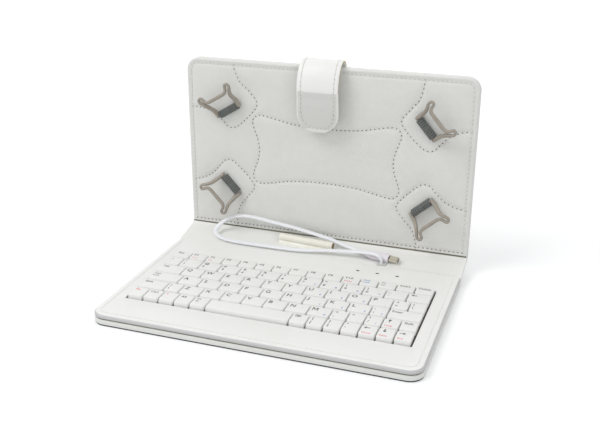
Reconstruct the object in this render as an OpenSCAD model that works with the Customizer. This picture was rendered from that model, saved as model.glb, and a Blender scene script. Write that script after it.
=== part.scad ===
// Tablet keyboard case: a leather folio with a keyboard in its lower leaf and
// four elastic corner hooks for a tablet on its upper leaf.
// It stands open, with the upper leaf upright.
// +X is to the right, +Y to the rear, and +Z is up. The origin is the middle of the
// lower leaf's underside.

/* [Case] */
// Width of the case
case_w = 205; // [200:1:225]
// Depth of the lower leaf and height of the upper leaf
leaf_d = 124.5; // [122:0.5:140]
// Radius of the outer corners
corner_r = 9; // [5:0.5:12]
// Thickness of the lower cover, its board and its leather
cover_t = 3.3; // [3:0.1:4.5]
// Thickness of the keyboard frame
frame_t = 4; // [3.8:0.1:4.6]
// Thickness of the padded panel that the tablet lies on
pad_t = 3.8; // [2.5:0.1:5]
// Thickness of the upper cover, its board and its leather
back_t = 3.5; // [3:0.1:4.5]
// Thickness of the cover leather
leather_t = 0.8; // [0.6:0.1:1]
// Width of the leather that is turned over a board's edge
hem_w = 1.6; // [1.2:0.1:3]
// Width of the spine between the two fold lines
spine_w = 22.4; // [21.5:0.1:26]
// Thickness of the spine
spine_t = 3.2; // [2.8:0.1:4]
// Angle at which the open spine rises from the lower leaf
spine_rise = 10; // [6:1:14]
// Angle of the upright leaf to the table
panel_angle = 90; // [84:1:96]
// Distance of a stiff board from its fold line
fold_gap = 0.6; // [0.4:0.1:1]

/* [Keyboard] */
// Width of the field of keys
keys_w = 182; // [176:0.5:186]
// Distance of the field's middle to the right of the case's middle
keys_x = -0.5; // [-2:0.1:2]
// Depth of the shallow last row of keys
top_row_d = 10.9; // [10.7:0.1:12]
// Depth of each other row of keys
row_d = 12.4; // [12:0.1:12.6]
// Distance of the last row from the fold line
keys_rear = 25.2; // [24:0.1:28]
// Width of a letter key's place
letter_w = 14.25; // [13.8:0.05:14.4]
// Width of a small key's place
small_w = 10.65; // [10.5:0.05:10.9]
// Width of the Enter key's place
enter_w = 21; // [18:0.5:24]
// Gap between two keycaps
key_gap = 0.9; // [0.7:0.05:1]
// Height of the keycaps above the frame
key_proud = 2; // [1.8:0.1:2.6]
// Height of a keycap
cap_h = 2.9; // [2.7:0.1:3]
// Travel of a key
key_travel = 1.5; // [1.2:0.1:1.5]
// Thickness of a keycap's top
cap_top = 0.8; // [0.6:0.1:0.9]
// Thickness of a keycap's side walls
cap_wall = 1; // [0.8:0.05:1]
// Lean of a keycap's front face
cap_slope = 1.1; // [0.6:0.1:1.2]
// Diameter of the plunger under a keycap
plunger_d = 4.9; // [4.4:0.1:5]
// Clearance of a plunger in its guide, on the radius
guide_clear = 0.05; // [0.03:0.01:0.1]
// Wall of a guide
guide_wall = 0.7; // [0.5:0.05:0.75]

/* [Lights] */
// Distance between two status lights
light_pitch = 13.5; // [12:0.5:15]
// Place of the middle light to the right of the case's middle
light_x = 48.7; // [44:0.1:54]
// Distance of the lights from the fold line
light_y = 11.6; // [10.5:0.1:13]
// Diameter of a light pipe
light_d = 1.7; // [1.2:0.1:2.2]

/* [Stylus loop and cable] */
// Diameter of the stylus that the loop holds
stylus_d = 4.5; // [4:0.1:4.8]
// Length of the loop
loop_l = 40.5; // [34:0.5:42]
// Thickness of the loop's leather
loop_t = 0.75; // [0.6:0.05:0.8]
// Slant of the loop to the fold line
loop_slant = 4.5; // [2:0.5:5]
// Width of the flange that the loop is sewn on with
flange_w = 5.6; // [5:0.1:6]
// Diameter of the cable
cable_d = 2.8; // [2.4:0.1:3]
// Length of the plug's grip
plug_l = 18; // [16:0.5:19]
// Width of the plug's grip
plug_w = 6.6; // [6.2:0.1:7]
// Thickness of the plug's grip
plug_t = 4.8; // [4.2:0.1:5]
// Length of the plug's metal tip
tip_l = 6.6; // [5.5:0.1:7]
// Width of the plug's metal tip
tip_w = 5.2; // [4.8:0.1:5.4]
// Thickness of the plug's metal tip
tip_t = 1.8; // [1.6:0.1:2.2]

/* [Panel seams] */
// Width of a seam that is drawn into the padding
seam_w = 0.9; // [0.6:0.1:1.4]
// Depth of a seam
seam_depth = 0.4; // [0.2:0.1:0.6]
// Distance of the border seam from the leaf's edge
seam_border = 3; // [2.6:0.1:4]
// Half the width of the centre field between its corners
field_x = 50; // [46:1:54]
// Half the height of the centre field between its corners
field_h = 28.5; // [27:0.5:31]
// How far the field's side seams bow inwards
field_side_bow = 4.5; // [2:0.5:8]
// How far the field's upper and lower seams bow inwards
field_end_bow = 8.5; // [4:0.5:12]

/* [Corner hooks] */
// Distance between the left and right anchors
anchor_x = 140; // [134:1:146]
// Distance between the upper and lower anchors
anchor_h = 55; // [52:1:60]
// Length of an elastic loop
elastic_l = 15; // [13:0.5:15.5]
// Diameter of a hook's bar
bar_d = 2.6; // [2.2:0.1:3]
// Thickness of a hook's band
band_t = 1.8; // [1.5:0.1:2]
// Reach of a hook from its bar to its crossbar
hook_reach = 11.4; // [10.5:0.1:12]
// Height of a hook off the panel
hook_h = 11.5; // [10.5:0.1:13]
// Height of a hook's crossbar
crossbar_h = 2.4; // [2:0.1:3]

/* [Closing strap] */
// Width of the strap
strap_w = 29; // [24:0.5:34]
// Thickness of the strap
strap_t = 2.2; // [1.8:0.1:2.4]
// Thickness of the stiff tab at its end
tab_t = 3; // [2.8:0.1:3.2]
// Radius of the tab's corners
tab_r = 11.5; // [6:0.5:12]
// Place of the strap to the right of the case's middle
strap_x = -1; // [-6:0.5:6]
// Height of the strap's bend over the leaf's edge
strap_top_gap = 4.5; // [4:0.1:6]
// Distance of the strap's crease from the panel
strap_off = 10; // [9:0.1:11]
// Length of the strap's soft front
strap_front = 19.5; // [18:0.5:21]
// Length of the stiff part below the crease
strap_stiff = 28; // [26:0.5:30]
// Length of the strap that is sewn to the back
strap_sewn = 25; // [20:1:32]

/* [Kickstand] */
// Width of the kickstand
stand_w = 60; // [44:1:90]
// Length of the kickstand
stand_l = 76; // [68:1:77]
// Thickness of the kickstand
stand_t = 2.4; // [2:0.1:3]
// Height of the kickstand's fold on the leaf
stand_h = 80; // [78:1:84]
// Radius of the kickstand's lower corners
stand_r = 12; // [4:1:20]
// Height of the leather that the kickstand is sewn on with
stand_sewn = 10; // [8:1:12]

/* [Hidden] */

$fn = 32;
eps = 0.01;
base_h = cover_t + frame_t;
panel_t = pad_t + back_t;
edge_r = 1; // softened edge of a leather-covered board
frame_bevel = 1.6;
seat = 0.05; // play of a board in its leather

// Colours
white_leather = [0.93, 0.93, 0.91];
lining_leather = [0.94, 0.94, 0.92];
greyboard = [0.62, 0.60, 0.56];
cap_white = [0.95, 0.95, 0.93];
steel = [0.72, 0.73, 0.75];
hook_taupe = [0.58, 0.54, 0.50];
elastic_grey = [0.30, 0.32, 0.31];
cable_white = [0.92, 0.93, 0.94];

// ---- Frames: each leaf's own frame has y away from the fold line and z = 0 on its inner face
module at_base() { translate([0, leaf_d / 2, 0]) children(); }
module at_spine() {
  translate([0, leaf_d / 2, base_h]) rotate([spine_rise, 0, 0]) children();
}
module at_panel() {
  at_spine() translate([0, spine_w, 0]) rotate([panel_angle - spine_rise, 0, 0]) children();
}
// Points of the two leaves in the plane across the folds, [y, z] from the lower fold line
function spine_point(s, n) =
  [s * cos(spine_rise) - n * sin(spine_rise), base_h + s * sin(spine_rise) + n * cos(spine_rise)];
function panel_point(h, n) = spine_point(spine_w, 0)
  + [h * cos(panel_angle) - n * sin(panel_angle), h * sin(panel_angle) + n * cos(panel_angle)];

// ---- Outlines
function arc(c, r, a0, a1, steps) =
  [for (i = [0:steps]) c + r * [cos(a0 + (a1 - a0) * i / steps), sin(a0 + (a1 - a0) * i / steps)]];
function round_rect(w, d, r, steps = 4) = concat(
  arc([w / 2 - r, d / 2 - r], r, 0, 90, steps), arc([r - w / 2, d / 2 - r], r, 90, 180, steps),
  arc([r - w / 2, r - d / 2], r, 180, 270, steps), arc([w / 2 - r, r - d / 2], r, 270, 360, steps));
// A leaf: square at its fold, at y = near, and round at its far corners, at y = far
function leaf(w, near, far, r) = concat(
  [[w / 2, near]], arc([w / 2 - r, far - r], r, 0, 90, 8),
  arc([r - w / 2, far - r], r, 90, 180, 8), [[-w / 2, near]]);
// A band of even width along a line of points
function unit(v) = v / norm(v);
function side(p, i) = let (
    a = i == 0 ? p[0] : p[i - 1], b = i == len(p) - 1 ? p[i] : p[i + 1], d = unit(b - a))
  [-d[1], d[0]];
function ribbon(p, w) = concat(
  [for (i = [0:len(p) - 1]) p[i] + side(p, i) * w / 2],
  [for (i = [len(p) - 1:-1:0]) p[i] - side(p, i) * w / 2]);

// A leather-covered board, softened along its three free edges
module board(w, near, far, r, t, soft_low = edge_r, soft_high = edge_r) {
  hull() {
    translate([0, 0, soft_low])
      linear_extrude(t - soft_low - soft_high) polygon(leaf(w, near, far, r));
    linear_extrude(t)
      polygon(leaf(w - 2 * max(soft_low, soft_high), near, far - max(soft_low, soft_high), r));
  }
}
// A shape drawn in the plane across the folds, [y, z], and drawn out across the case
module across(w) { rotate([90, 0, 90]) linear_extrude(w, center = true) children(); }

// ---- Lower leaf
pocket_w = case_w - 2 * hem_w;
catch_w = 16;
catch_d = 9;
catch_t = 1;
catch_y = leaf_d - 8.5;
module base_cover() color(white_leather) at_base() mirror([0, 1, 0]) difference() {
  board(case_w, 0, leaf_d, corner_r, cover_t, edge_r, 0);
  translate([0, 0, leather_t])
    linear_extrude(cover_t) polygon(leaf(pocket_w, hem_w, leaf_d - hem_w, corner_r - hem_w));
}
module base_board() color(greyboard) at_base() mirror([0, 1, 0]) difference() {
  translate([0, 0, leather_t]) linear_extrude(cover_t - leather_t)
    polygon(leaf(pocket_w - 2 * seat, hem_w + seat, leaf_d - hem_w - seat, corner_r - hem_w));
  translate([strap_x, catch_y, leather_t])
    cube([catch_w + 2 * seat, catch_d + 2 * seat, 2 * catch_t], center = true);
}
module catch_plate() color(steel) at_base()
  translate([strap_x - catch_w / 2, -catch_y - catch_d / 2, leather_t])
    cube([catch_w, catch_d, catch_t - seat]);

// The frame's window, and the pocket under it for the controller board
window_gap = 0.7;
field_d = top_row_d + 5 * row_d;
window = [keys_w + 2 * window_gap, field_d + 2 * window_gap];
window_y = -keys_rear - field_d / 2;
board_w = 2 * light_pitch + 13;
board_d = 12;
board_t = 0.8;
tail_w = 12;
module at_window() at_base() translate([keys_x, window_y, cover_t]) children();
module window_area(inset) square(window - [2 * inset, 2 * inset], center = true);
module at_lights() at_base() for (i = [-1:1])
  translate([light_x + i * light_pitch, -light_y, 0]) children();

module keyboard_frame() color(white_leather) difference() {
  at_base() mirror([0, 1, 0]) translate([0, 0, cover_t])
    board(case_w, 0, leaf_d, corner_r, frame_t, 0, frame_bevel);
  at_window() translate([0, 0, -eps]) linear_extrude(frame_t + 1) window_area(0);
  at_base() translate([light_x, -light_y, cover_t])
    cube([board_w + 1, board_d + 1, 2 * controller_top], center = true);
  at_base() translate([light_x - tail_w / 2 - 0.5, -keys_rear, cover_t - eps])
    cube([tail_w + 1, keys_rear - light_y, film_z + film_t + 0.3 - cover_t]);
  at_lights() cylinder(d = light_d + 0.1, h = base_h + 1);
}

// ---- Key mechanism, from the cover up: steel plate, film, dome sheet, guide plate, caps
plate_t = 0.4;
film_t = 0.3;
sheet_t = 0.2;
guide_t = 0.6;
film_z = cover_t + plate_t;
sheet_z = film_z + film_t;
guide_z = sheet_z + sheet_t;
cap_z = base_h + key_proud - cap_h; // underside of the caps' walls
ceiling_z = base_h + key_proud - cap_top;
plunger_z = ceiling_z - 2.7;
guide_top = ceiling_z - key_travel - 0.1;
inner_gap = 0.3;
controller_top = film_z + film_t + board_t + 0.6 - cover_t;

module back_plate() color(steel) at_window() linear_extrude(plate_t) window_area(inner_gap);
module circuit_film() color([0.85, 0.88, 0.80]) {
  at_window() translate([0, 0, plate_t]) linear_extrude(film_t) window_area(inner_gap);
  at_base() translate([light_x - tail_w / 2, -keys_rear, film_z])
    cube([tail_w, keys_rear - light_y, film_t]);
}
module dome_sheet() color([0.80, 0.82, 0.84]) union() {
  at_window() translate([0, 0, guide_z - sheet_t - cover_t])
    linear_extrude(sheet_t) window_area(inner_gap);
  at_all_guides() translate([0, 0, guide_z - eps])
    cylinder(r1 = plunger_d / 2 - 0.35, r2 = plunger_d / 4, h = plunger_z - guide_z + eps, $fn = 24);
}
module key_plate() color([0.35, 0.33, 0.30]) union() {
  difference() {
    at_window() translate([0, 0, guide_z - cover_t]) linear_extrude(guide_t)
      window_area(inner_gap);
    at_all_guides() translate([0, 0, guide_z - 1])
      cylinder(d = plunger_d + 2 * guide_clear, h = guide_t + 2, $fn = 24);
  }
  at_all_guides() translate([0, 0, guide_z]) difference() {
    cylinder(d = plunger_d + 2 * (guide_clear + guide_wall), h = guide_top - guide_z, $fn = 24);
    translate([0, 0, -1])
      cylinder(d = plunger_d + 2 * guide_clear, h = guide_top, $fn = 24);
  }
}
module controller_board() color([0.20, 0.42, 0.30]) at_base() {
  translate([light_x - board_w / 2, -light_y - board_d / 2, film_z + film_t])
    cube([board_w, board_d, board_t]);
}
module status_lights() color([0.25, 0.25, 0.27]) at_lights()
  translate([0, 0, film_z + film_t + board_t])
    cylinder(d = light_d, h = base_h - 0.1 - film_z - film_t - board_t);

// ---- Rows of keys, as the widths of their places from the left; 0 takes what is left over
function times(n, w) = [for (i = [1:n]) w];
function sum(v, i = 0) = i < len(v) ? v[i] + sum(v, i + 1) : 0;
function filled(v) = [for (w = v) w == 0 ? keys_w - sum(v) : w];
function left_of(v, i) = i == 0 ? 0 : v[i - 1] + left_of(v, i - 1);
ROWS = [
  times(15, keys_w / 15),
  filled(concat([small_w], times(11, letter_w), [0])),
  filled(concat([0], times(10, letter_w), times(2, small_w))),
  filled(concat([0], times(9, letter_w), [small_w, enter_w])),
  filled(concat([0, small_w], times(7, letter_w), times(5, small_w))),
  filled(concat(times(5, small_w), [0], times(7, small_w)))
];
function row_depth(row) = row == 0 ? top_row_d : row_d;
function row_middle(row) = row == 0 ? top_row_d / 2 : top_row_d + (row - 0.5) * row_d;
wide_key = 40;
post_y = (cap_slope - 0.2) / 2; // a plunger stands in the middle of its cap's hollow
function posts(w) = w > wide_key ? [-w / 3, 0, w / 3] : [0];
module at_key(row, i) at_base() translate([
    keys_x - keys_w / 2 + left_of(ROWS[row], i) + ROWS[row][i] / 2,
    -keys_rear - row_middle(row), 0]) children();
module at_all_guides()
  for (row = [0:len(ROWS) - 1]) for (i = [0:len(ROWS[row]) - 1]) at_key(row, i)
    for (x = posts(ROWS[row][i])) translate([x, post_y, 0]) children();

module keycap(place_w, place_d) {
  w = place_w - key_gap;
  d = place_d - key_gap;
  hollow_d = d - 1.8 * cap_wall - cap_slope;
  translate([0, 0, cap_z]) difference() {
    intersection() {
      linear_extrude(cap_h) polygon(round_rect(w, d, 0.9, 3));
      across(w + 1) polygon([[-d / 2, -1], [d / 2, -1], [d / 2 - 0.3, cap_h],
        [cap_slope - d / 2, cap_h], [-d / 2, 0.4]]);
    }
    translate([0, post_y, -1])
      linear_extrude(cap_h - cap_top + 1) square([w - 2 * cap_wall, hollow_d], center = true);
  }
  for (x = posts(place_w)) translate([x, post_y, plunger_z])
    cylinder(d = plunger_d, h = ceiling_z - plunger_z + cap_top / 2, $fn = 24);
}
module keys(row, first, last) color(cap_white)
  for (i = [first:last]) at_key(row, i) keycap(ROWS[row][i], row_depth(row));

module esc_key() keys(0, 0, 0);
module function_keys() keys(0, 1, 10);
module edit_keys() keys(0, 11, 14);
module number_keys() keys(1, 0, 11);
module backspace_key() keys(1, 12, 12);
module tab_key() keys(2, 0, 0);
module upper_letter_keys() keys(2, 1, 12);
module caps_lock_key() keys(3, 0, 0);
module middle_letter_keys() keys(3, 1, 10);
module enter_key() keys(3, 11, 11);
module left_shift_key() keys(4, 0, 0);
module lower_letter_keys() keys(4, 1, 11);
module up_key() keys(4, 12, 12);
module right_shift_key() keys(4, 13, 13);
module modifier_keys() keys(5, 0, 4);
module space_key() keys(5, 5, 5);
module symbol_keys() keys(5, 6, 9);
module left_key() keys(5, 10, 10);
module down_key() keys(5, 11, 11);
module right_key() keys(5, 12, 12);

// ---- Spine: an outer leather tray, a board in it, and the lining over both
module spine_cover() color(white_leather) at_spine() difference() {
  translate([-case_w / 2, fold_gap, -spine_t])
    cube([case_w, spine_w - 2 * fold_gap, spine_t - leather_t]);
  translate([-case_w / 2 + hem_w, fold_gap + hem_w, leather_t - spine_t])
    cube([case_w - 2 * hem_w, spine_w - 2 * fold_gap - 2 * hem_w, spine_t]);
}
module spine_board() color(greyboard) at_spine()
  translate([-case_w / 2 + hem_w + seat, fold_gap + hem_w + seat, leather_t - spine_t])
    cube([case_w - 2 * (hem_w + seat), spine_w - 2 * (fold_gap + hem_w + seat),
      spine_t - 2 * leather_t]);
module spine_lining() color(lining_leather) at_spine()
  translate([-case_w / 2, fold_gap, -leather_t])
    cube([case_w, spine_w - 2 * fold_gap, leather_t]);

// ---- Leather folds, which bend as the case is opened and closed
fold_foot = 0.3; // height of the lower fold's leather above the table
module base_fold() color(lining_leather) at_base() across(case_w) polygon([
  [0, base_h], spine_point(fold_gap, 0), spine_point(fold_gap, -spine_t),
  spine_point(fold_gap, -spine_t) + [0.2, -1], [0.9, fold_foot], [0, fold_foot]]);
module panel_fold() color(lining_leather) at_base() across(case_w) polygon(concat(
  [spine_point(spine_w - fold_gap, 0), spine_point(spine_w, 0), panel_point(fold_gap, 0),
   panel_point(fold_gap, -panel_t)],
  [for (i = [1:5]) let (a = 90 * i / 6, c = spine_point(spine_w - fold_gap, -spine_t),
     f = panel_point(fold_gap, -panel_t))
     [c[0] + (f[0] - c[0]) * cos(a), f[1] - (f[1] - c[1]) * sin(a)]],
  [spine_point(spine_w - fold_gap, -spine_t)]));

// ---- Stylus loop
loop_x = -9.5;
loop_s = 13;
loop_r = stylus_d / 2 + loop_t;
module at_loop() at_spine() translate([loop_x, loop_s, 0]) rotate([0, 0, -loop_slant]) children();
module stylus_loop() color([0.96, 0.94, 0.87]) at_loop() difference() {
  union() {
    translate([-loop_l / 2, 0, loop_r]) rotate([0, 90, 0]) cylinder(r = loop_r, h = loop_l);
    translate([-loop_l / 2, -flange_w, 0]) cube([loop_l, flange_w, leather_t]);
  }
  translate([-loop_l / 2 - 1, 0, loop_r]) rotate([0, 90, 0]) cylinder(d = stylus_d, h = loop_l + 2);
}

// ---- Cable: its route's points are in the spine's frame, [x, s, n]
gland_x = 48;
gland_s = 2.4;
gland_h = 1.2;
plug_tail = [34.5, 9.4, 2.6];
plug_turn = -8;
ROUTE = [
  [gland_x, gland_s, gland_h], [48, 2.4, 3], [47.4, 2.9, 4.8], [45.6, 3.6, 6], [42.5, 4.4, 6.4],
  [38, 5, 6.2], [33, 5.6, 5.6], [28, 6, 4.8], [22, 6, 4.2], [16, 5.6, 3.8], [9, 5, 3.4],
  [2, 4.2, 2.9], [-6, 3.2, 2.3], [-15, 2.7, 1.8], [-25, 2.5, 1.6], [-36, 2.4, 1.6],
  [-47, 2.4, 1.6], [-57, 2.5, 1.6], [-65.5, 3, 1.7], [-71.5, 4.2, 2], [-75.5, 6, 2.6],
  [-78, 8.6, 3.2], [-78.6, 11.4, 4.1], [-78, 14, 5.3], [-76, 16, 6.9], [-72.8, 17.6, 9.1],
  [-68.6, 18.8, 11.1], [-64, 19.6, 12.4], [-58, 20, 13], [-51, 20, 12.8], [-44, 19.8, 12],
  [-36, 19.6, 11], [-28, 19.4, 10], [-20, 19.2, 9], [-12, 18.8, 7.8], [-4, 18, 6.8],
  [3, 17.1, 5.9], [9, 16.2, 5], [14, 15.1, 4.1], [19, 13.9, 3.4], [24, 12.6, 3], [29, 11, 2.7],
  [32.5, 9.8, 2.6], plug_tail
];
// A tube of eight sides along the route: each ring stands across the line at its point
cable_sides = 8;
function ahead(p, i) = unit(i == 0 ? p[1] - p[0]
  : i == len(p) - 1 ? [cos(plug_turn), sin(plug_turn), 0] : p[i + 1] - p[i - 1]);
function ring(p, i, r) = let (
    d = ahead(p, i), u = unit(cross(d, abs(d[2]) > 0.9 ? [1, 0, 0] : [0, 0, 1])), v = cross(u, d))
  [for (k = [0:cable_sides - 1]) let (a = 360 * (k + 0.5) / cable_sides)
    p[i] + r * (cos(a) * u + sin(a) * v)];
module tube(p, r) {
  n = cable_sides;
  polyhedron(
    points = [for (i = [0:len(p) - 1]) each ring(p, i, r)],
    faces = concat(
      [[for (k = [0:n - 1]) k]],
      [for (i = [0:len(p) - 2]) for (k = [0:n - 1])
        [i * n + k, (i + 1) * n + k, (i + 1) * n + (k + 1) % n, i * n + (k + 1) % n]],
      [[for (k = [n - 1:-1:0]) (len(p) - 1) * n + k]]));
}
module cable_gland() color([0.80, 0.80, 0.79]) at_spine() translate([gland_x, gland_s, 0])
  linear_extrude(gland_h) polygon(round_rect(6.4, 3.6, 1.2));
module usb_cable() color(cable_white) at_spine() tube(ROUTE, cable_d / 2);
module at_plug() at_spine() translate(plug_tail) rotate([0, 0, plug_turn]) children();
module plug_grip() color([0.91, 0.90, 0.92]) at_plug() difference() {
  hull() {
    rotate([90, 0, 90]) linear_extrude(eps) polygon(round_rect(cable_d + 1.4, cable_d + 1, 1.2));
    translate([plug_l * 0.3, 0, 0]) rotate([90, 0, 90])
      linear_extrude(plug_l * 0.7) polygon(round_rect(plug_w, plug_t, 2));
  }
  translate([plug_l - 1, -tip_w / 2, -tip_t / 2]) cube([2, tip_w, tip_t]);
}
module plug_tip() color(steel) at_plug() translate([plug_l - 1, 0, 0]) rotate([90, 0, 90])
  difference() {
    linear_extrude(tip_l + 1) polygon([[-tip_w / 2, tip_t / 2], [tip_w / 2, tip_t / 2],
      [tip_w / 2, -tip_t / 6], [tip_w / 2 - 0.7, -tip_t / 2], [0.7 - tip_w / 2, -tip_t / 2],
      [-tip_w / 2, -tip_t / 6]]);
    translate([0, 0.1, 3]) linear_extrude(tip_l) square([tip_w - 1, tip_t - 0.7], center = true);
  }

// ---- Upper leaf
module back_cover() color(white_leather) at_panel() difference() {
  translate([0, 0, -panel_t]) board(case_w, fold_gap, leaf_d, corner_r, back_t, edge_r, 0);
  translate([0, 0, leather_t - panel_t]) linear_extrude(back_t)
    polygon(leaf(pocket_w, fold_gap + hem_w, leaf_d - hem_w, corner_r - hem_w));
}
module back_board() color(greyboard) at_panel() translate([0, 0, leather_t - panel_t])
  linear_extrude(back_t - leather_t) polygon(leaf(pocket_w - 2 * seat, fold_gap + hem_w + seat,
    leaf_d - hem_w - seat, corner_r - hem_w));
// Seams: a border, four pockets round the hooks and a field between them. Each quarter's
// points are measured outwards from its hook's anchor.
function curve(p, n = 3) = [for (i = [0:len(p) - 2]) for (k = [0:n - 1]) let (
    t = k / n, a = p[max(i - 1, 0)], b = p[i], c = p[i + 1], d = p[min(i + 2, len(p) - 1)])
  b + ((c - a) * t + (2 * a - 5 * b + 4 * c - d) * t * t + (3 * b - a - 3 * c + d) * t * t * t) / 2,
  p[len(p) - 1]];
function bowed(a, b, bow) = [for (k = [0:5]) a + (b - a) * k / 6 + bow * sin(30 * k)];
POCKET = [[case_w / 2 - anchor_x / 2 - seam_border, 1], [18, -3.5], [2, -14.5], [-9, -10.5],
  [-17, 0], [-17, 11], [-12, 21], [-4, (leaf_d - anchor_h) / 2 - seam_border]];
module seams() {
  difference() {
    polygon(leaf(case_w - 2 * seam_border, seam_border, leaf_d - seam_border,
      corner_r - seam_border));
    polygon(leaf(case_w - 2 * (seam_border + seam_w), seam_border + seam_w,
      leaf_d - seam_border - seam_w, corner_r - seam_border - seam_w));
  }
  translate([0, leaf_d / 2]) {
    for (x = [-1, 1], y = [-1, 1])
      polygon([for (p = ribbon(curve(POCKET), seam_w))
        [x * (anchor_x / 2 + p[0]), y * (anchor_h / 2 + p[1])]]);
    field = concat(
      bowed([-field_x, field_h], [field_x, field_h], [0, -field_end_bow]),
      bowed([field_x, field_h], [field_x, -field_h], [-field_side_bow, 0]),
      bowed([field_x, -field_h], [-field_x, -field_h], [0, field_end_bow]),
      bowed([-field_x, -field_h], [-field_x, field_h], [field_side_bow, 0]));
    difference() {
      polygon(field);
      offset(delta = -seam_w) polygon(field);
    }
  }
}
module tablet_panel() color(white_leather) at_panel() difference() {
  translate([0, 0, -pad_t]) board(case_w, fold_gap, leaf_d, corner_r, pad_t, 0, edge_r);
  translate([0, 0, -seam_depth]) linear_extrude(1) seams();
}

// ---- Corner hooks: each one's frame has x along its bar and y towards the case's corner
HOOKS = [[-1, 1, 121], [1, 1, 41], [-1, -1, 223], [1, -1, 311]]; // side, end, turn
module at_hook(i) at_panel()
  translate([HOOKS[i][0] * anchor_x / 2, (leaf_d + HOOKS[i][1] * anchor_h) / 2, 0])
    rotate([0, 0, HOOKS[i][2] - 90]) children();
elastic_t = 1.2;
bar_n = bar_d / 2 + elastic_t + 0.15; // height of the bar off the panel
bar_play = 0.15;
module elastic(i) color(elastic_grey) at_hook(i) difference() {
  r = bar_d / 2 + bar_play + elastic_t;
  union() {
    translate([-elastic_l / 2, 0, bar_n]) rotate([0, 90, 0]) cylinder(r = r, h = elastic_l);
    translate([-elastic_l / 2, -r, 0]) cube([elastic_l, 2 * r, bar_n]);
  }
  translate([-elastic_l / 2 - 1, 0, bar_n]) rotate([0, 90, 0])
    cylinder(d = bar_d + 2 * bar_play, h = elastic_l + 2);
}
// Half of the band, from the end of the bar round an ear to the middle of the crossbar
arm_x = 8.6;
ear = [13.3, hook_reach + 4.4];
ear_r = 1.6;
HALF_BAND = concat(
  [[arm_x, -bar_d / 2], [arm_x + 0.5, 4], [arm_x + 1.6, 8.6], [arm_x + 3.6, hook_reach + 0.8]],
  arc(ear, ear_r, -40, 150, 6),
  [[arm_x + 1.8, hook_reach + 2.2], [arm_x - 0.6, hook_reach + 0.4], [arm_x - 2.4, hook_reach]]);
function flipped(p) = [for (i = [len(p) - 1:-1:0]) [-p[i][0], p[i][1]]];
module hook(i) color(hook_taupe) at_hook(i) {
  difference() {
    intersection() {
      translate([0, 0, 0.6])
        linear_extrude(hook_h - 0.6) polygon(ribbon(concat(HALF_BAND, flipped(HALF_BAND)), band_t));
      // From the side the arms rise from the bar to the ears
      across(60) polygon([[-2, 0.6], [5, 0.8], [hook_reach, 3.4], [hook_reach + 8, 5],
        [hook_reach + 8, hook_h], [hook_reach - 1.5, hook_h], [4, 6], [-2, bar_n + bar_d / 2 + 0.6]]);
    }
    translate([-arm_x + 0.8, 2, 0])
      cube([2 * arm_x - 1.6, hook_reach + 1.2, hook_h - crossbar_h]);
  }
  translate([-arm_x, 0, bar_n]) rotate([0, 90, 0]) cylinder(d = bar_d, h = 2 * arm_x);
}
module elastic_top_left() elastic(0);
module elastic_top_right() elastic(1);
module elastic_bottom_left() elastic(2);
module elastic_bottom_right() elastic(3);
module hook_top_left() hook(0);
module hook_top_right() hook(1);
module hook_bottom_left() hook(2);
module hook_bottom_right() hook(3);

// ---- Closing strap, in the panel's frame across the case: [h, n]
// It is sewn to the back, bends over the leaf's edge and hangs in front of the panel.
strap_mid = -panel_t - strap_t / 2; // the sewn part's middle
strap_peak = leaf_d + strap_top_gap;
peak_n = -2.5;
split_a = 25; // angle on the front curve where the top piece ends
split_l = 8.5; // length of the stiff part that turns with the band
bend_l = 3; // length of the crease's lower half
link_gap = 0.2;
strap_fold_h = leaf_d - 0.7;
function back_curve(a) = [strap_fold_h + (strap_peak - strap_fold_h) * sin(a),
  peak_n - (peak_n - strap_mid) * cos(a)];
function front_curve(a) = [strap_peak - strap_front * (1 - cos(a)),
  peak_n + (strap_off - peak_n) * sin(a)];
crease = front_curve(90);
tab_end = [crease[0] - strap_stiff, strap_off - 2.5];
function along_tab(l) = crease + unit(tab_end - crease) * l;
module strap_slice(points, t) translate([strap_x, 0, 0]) across(strap_w) polygon(ribbon(points, t));
module strap_root() color(white_leather) at_panel()
  translate([strap_x - strap_w / 2, strap_fold_h - strap_sewn, -panel_t - strap_t])
    cube([strap_w, strap_sewn - link_gap, strap_t]);
module strap_top() color(white_leather) at_panel() strap_slice(concat(
  [for (a = [0:15:75]) back_curve(a)], [for (a = [0:5:split_a]) front_curve(a)]), strap_t);
module strap_band() color(white_leather) at_panel() strap_slice(concat(
  [for (a = [split_a + 1, 35, 45, 55, 65, 75, 85]) front_curve(a)],
  [crease, along_tab(bend_l), along_tab(split_l - link_gap)]), strap_t);
tab_l = norm(tab_end - crease) - split_l;
magnet_d = 12;
magnet_t = 1.2;
module at_tab() at_panel() translate([strap_x, along_tab(split_l)[0], along_tab(split_l)[1]])
  rotate([180 - atan2(tab_end[1] - crease[1], -(tab_end[0] - crease[0])), 0, 0]) children();
module strap_tab() color(white_leather) at_tab() difference() {
  translate([0, 0, -tab_t / 2]) linear_extrude(tab_t)
    polygon(leaf(strap_w, link_gap, tab_l, tab_r));
  translate([0, tab_l / 2, -magnet_t / 2 - seat])
    cylinder(d = magnet_d + 2 * seat, h = magnet_t + 2 * seat);
}
module strap_magnet() color(steel) at_tab()
  translate([0, tab_l / 2, -magnet_t / 2]) cylinder(d = magnet_d, h = magnet_t);

// ---- Kickstand on the back
stand_play = 0.2;
module kickstand_fold() color(white_leather) at_panel()
  translate([-stand_w / 2, stand_h + stand_play, -panel_t - stand_play - stand_t])
    cube([stand_w, stand_sewn, stand_t + stand_play]);
module kickstand() color(white_leather) at_panel()
  translate([0, stand_h, -panel_t - stand_play - stand_t]) mirror([0, 1, 0])
    board(stand_w, 0, stand_l, stand_r, stand_t, 0.6, 0.6);

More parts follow.
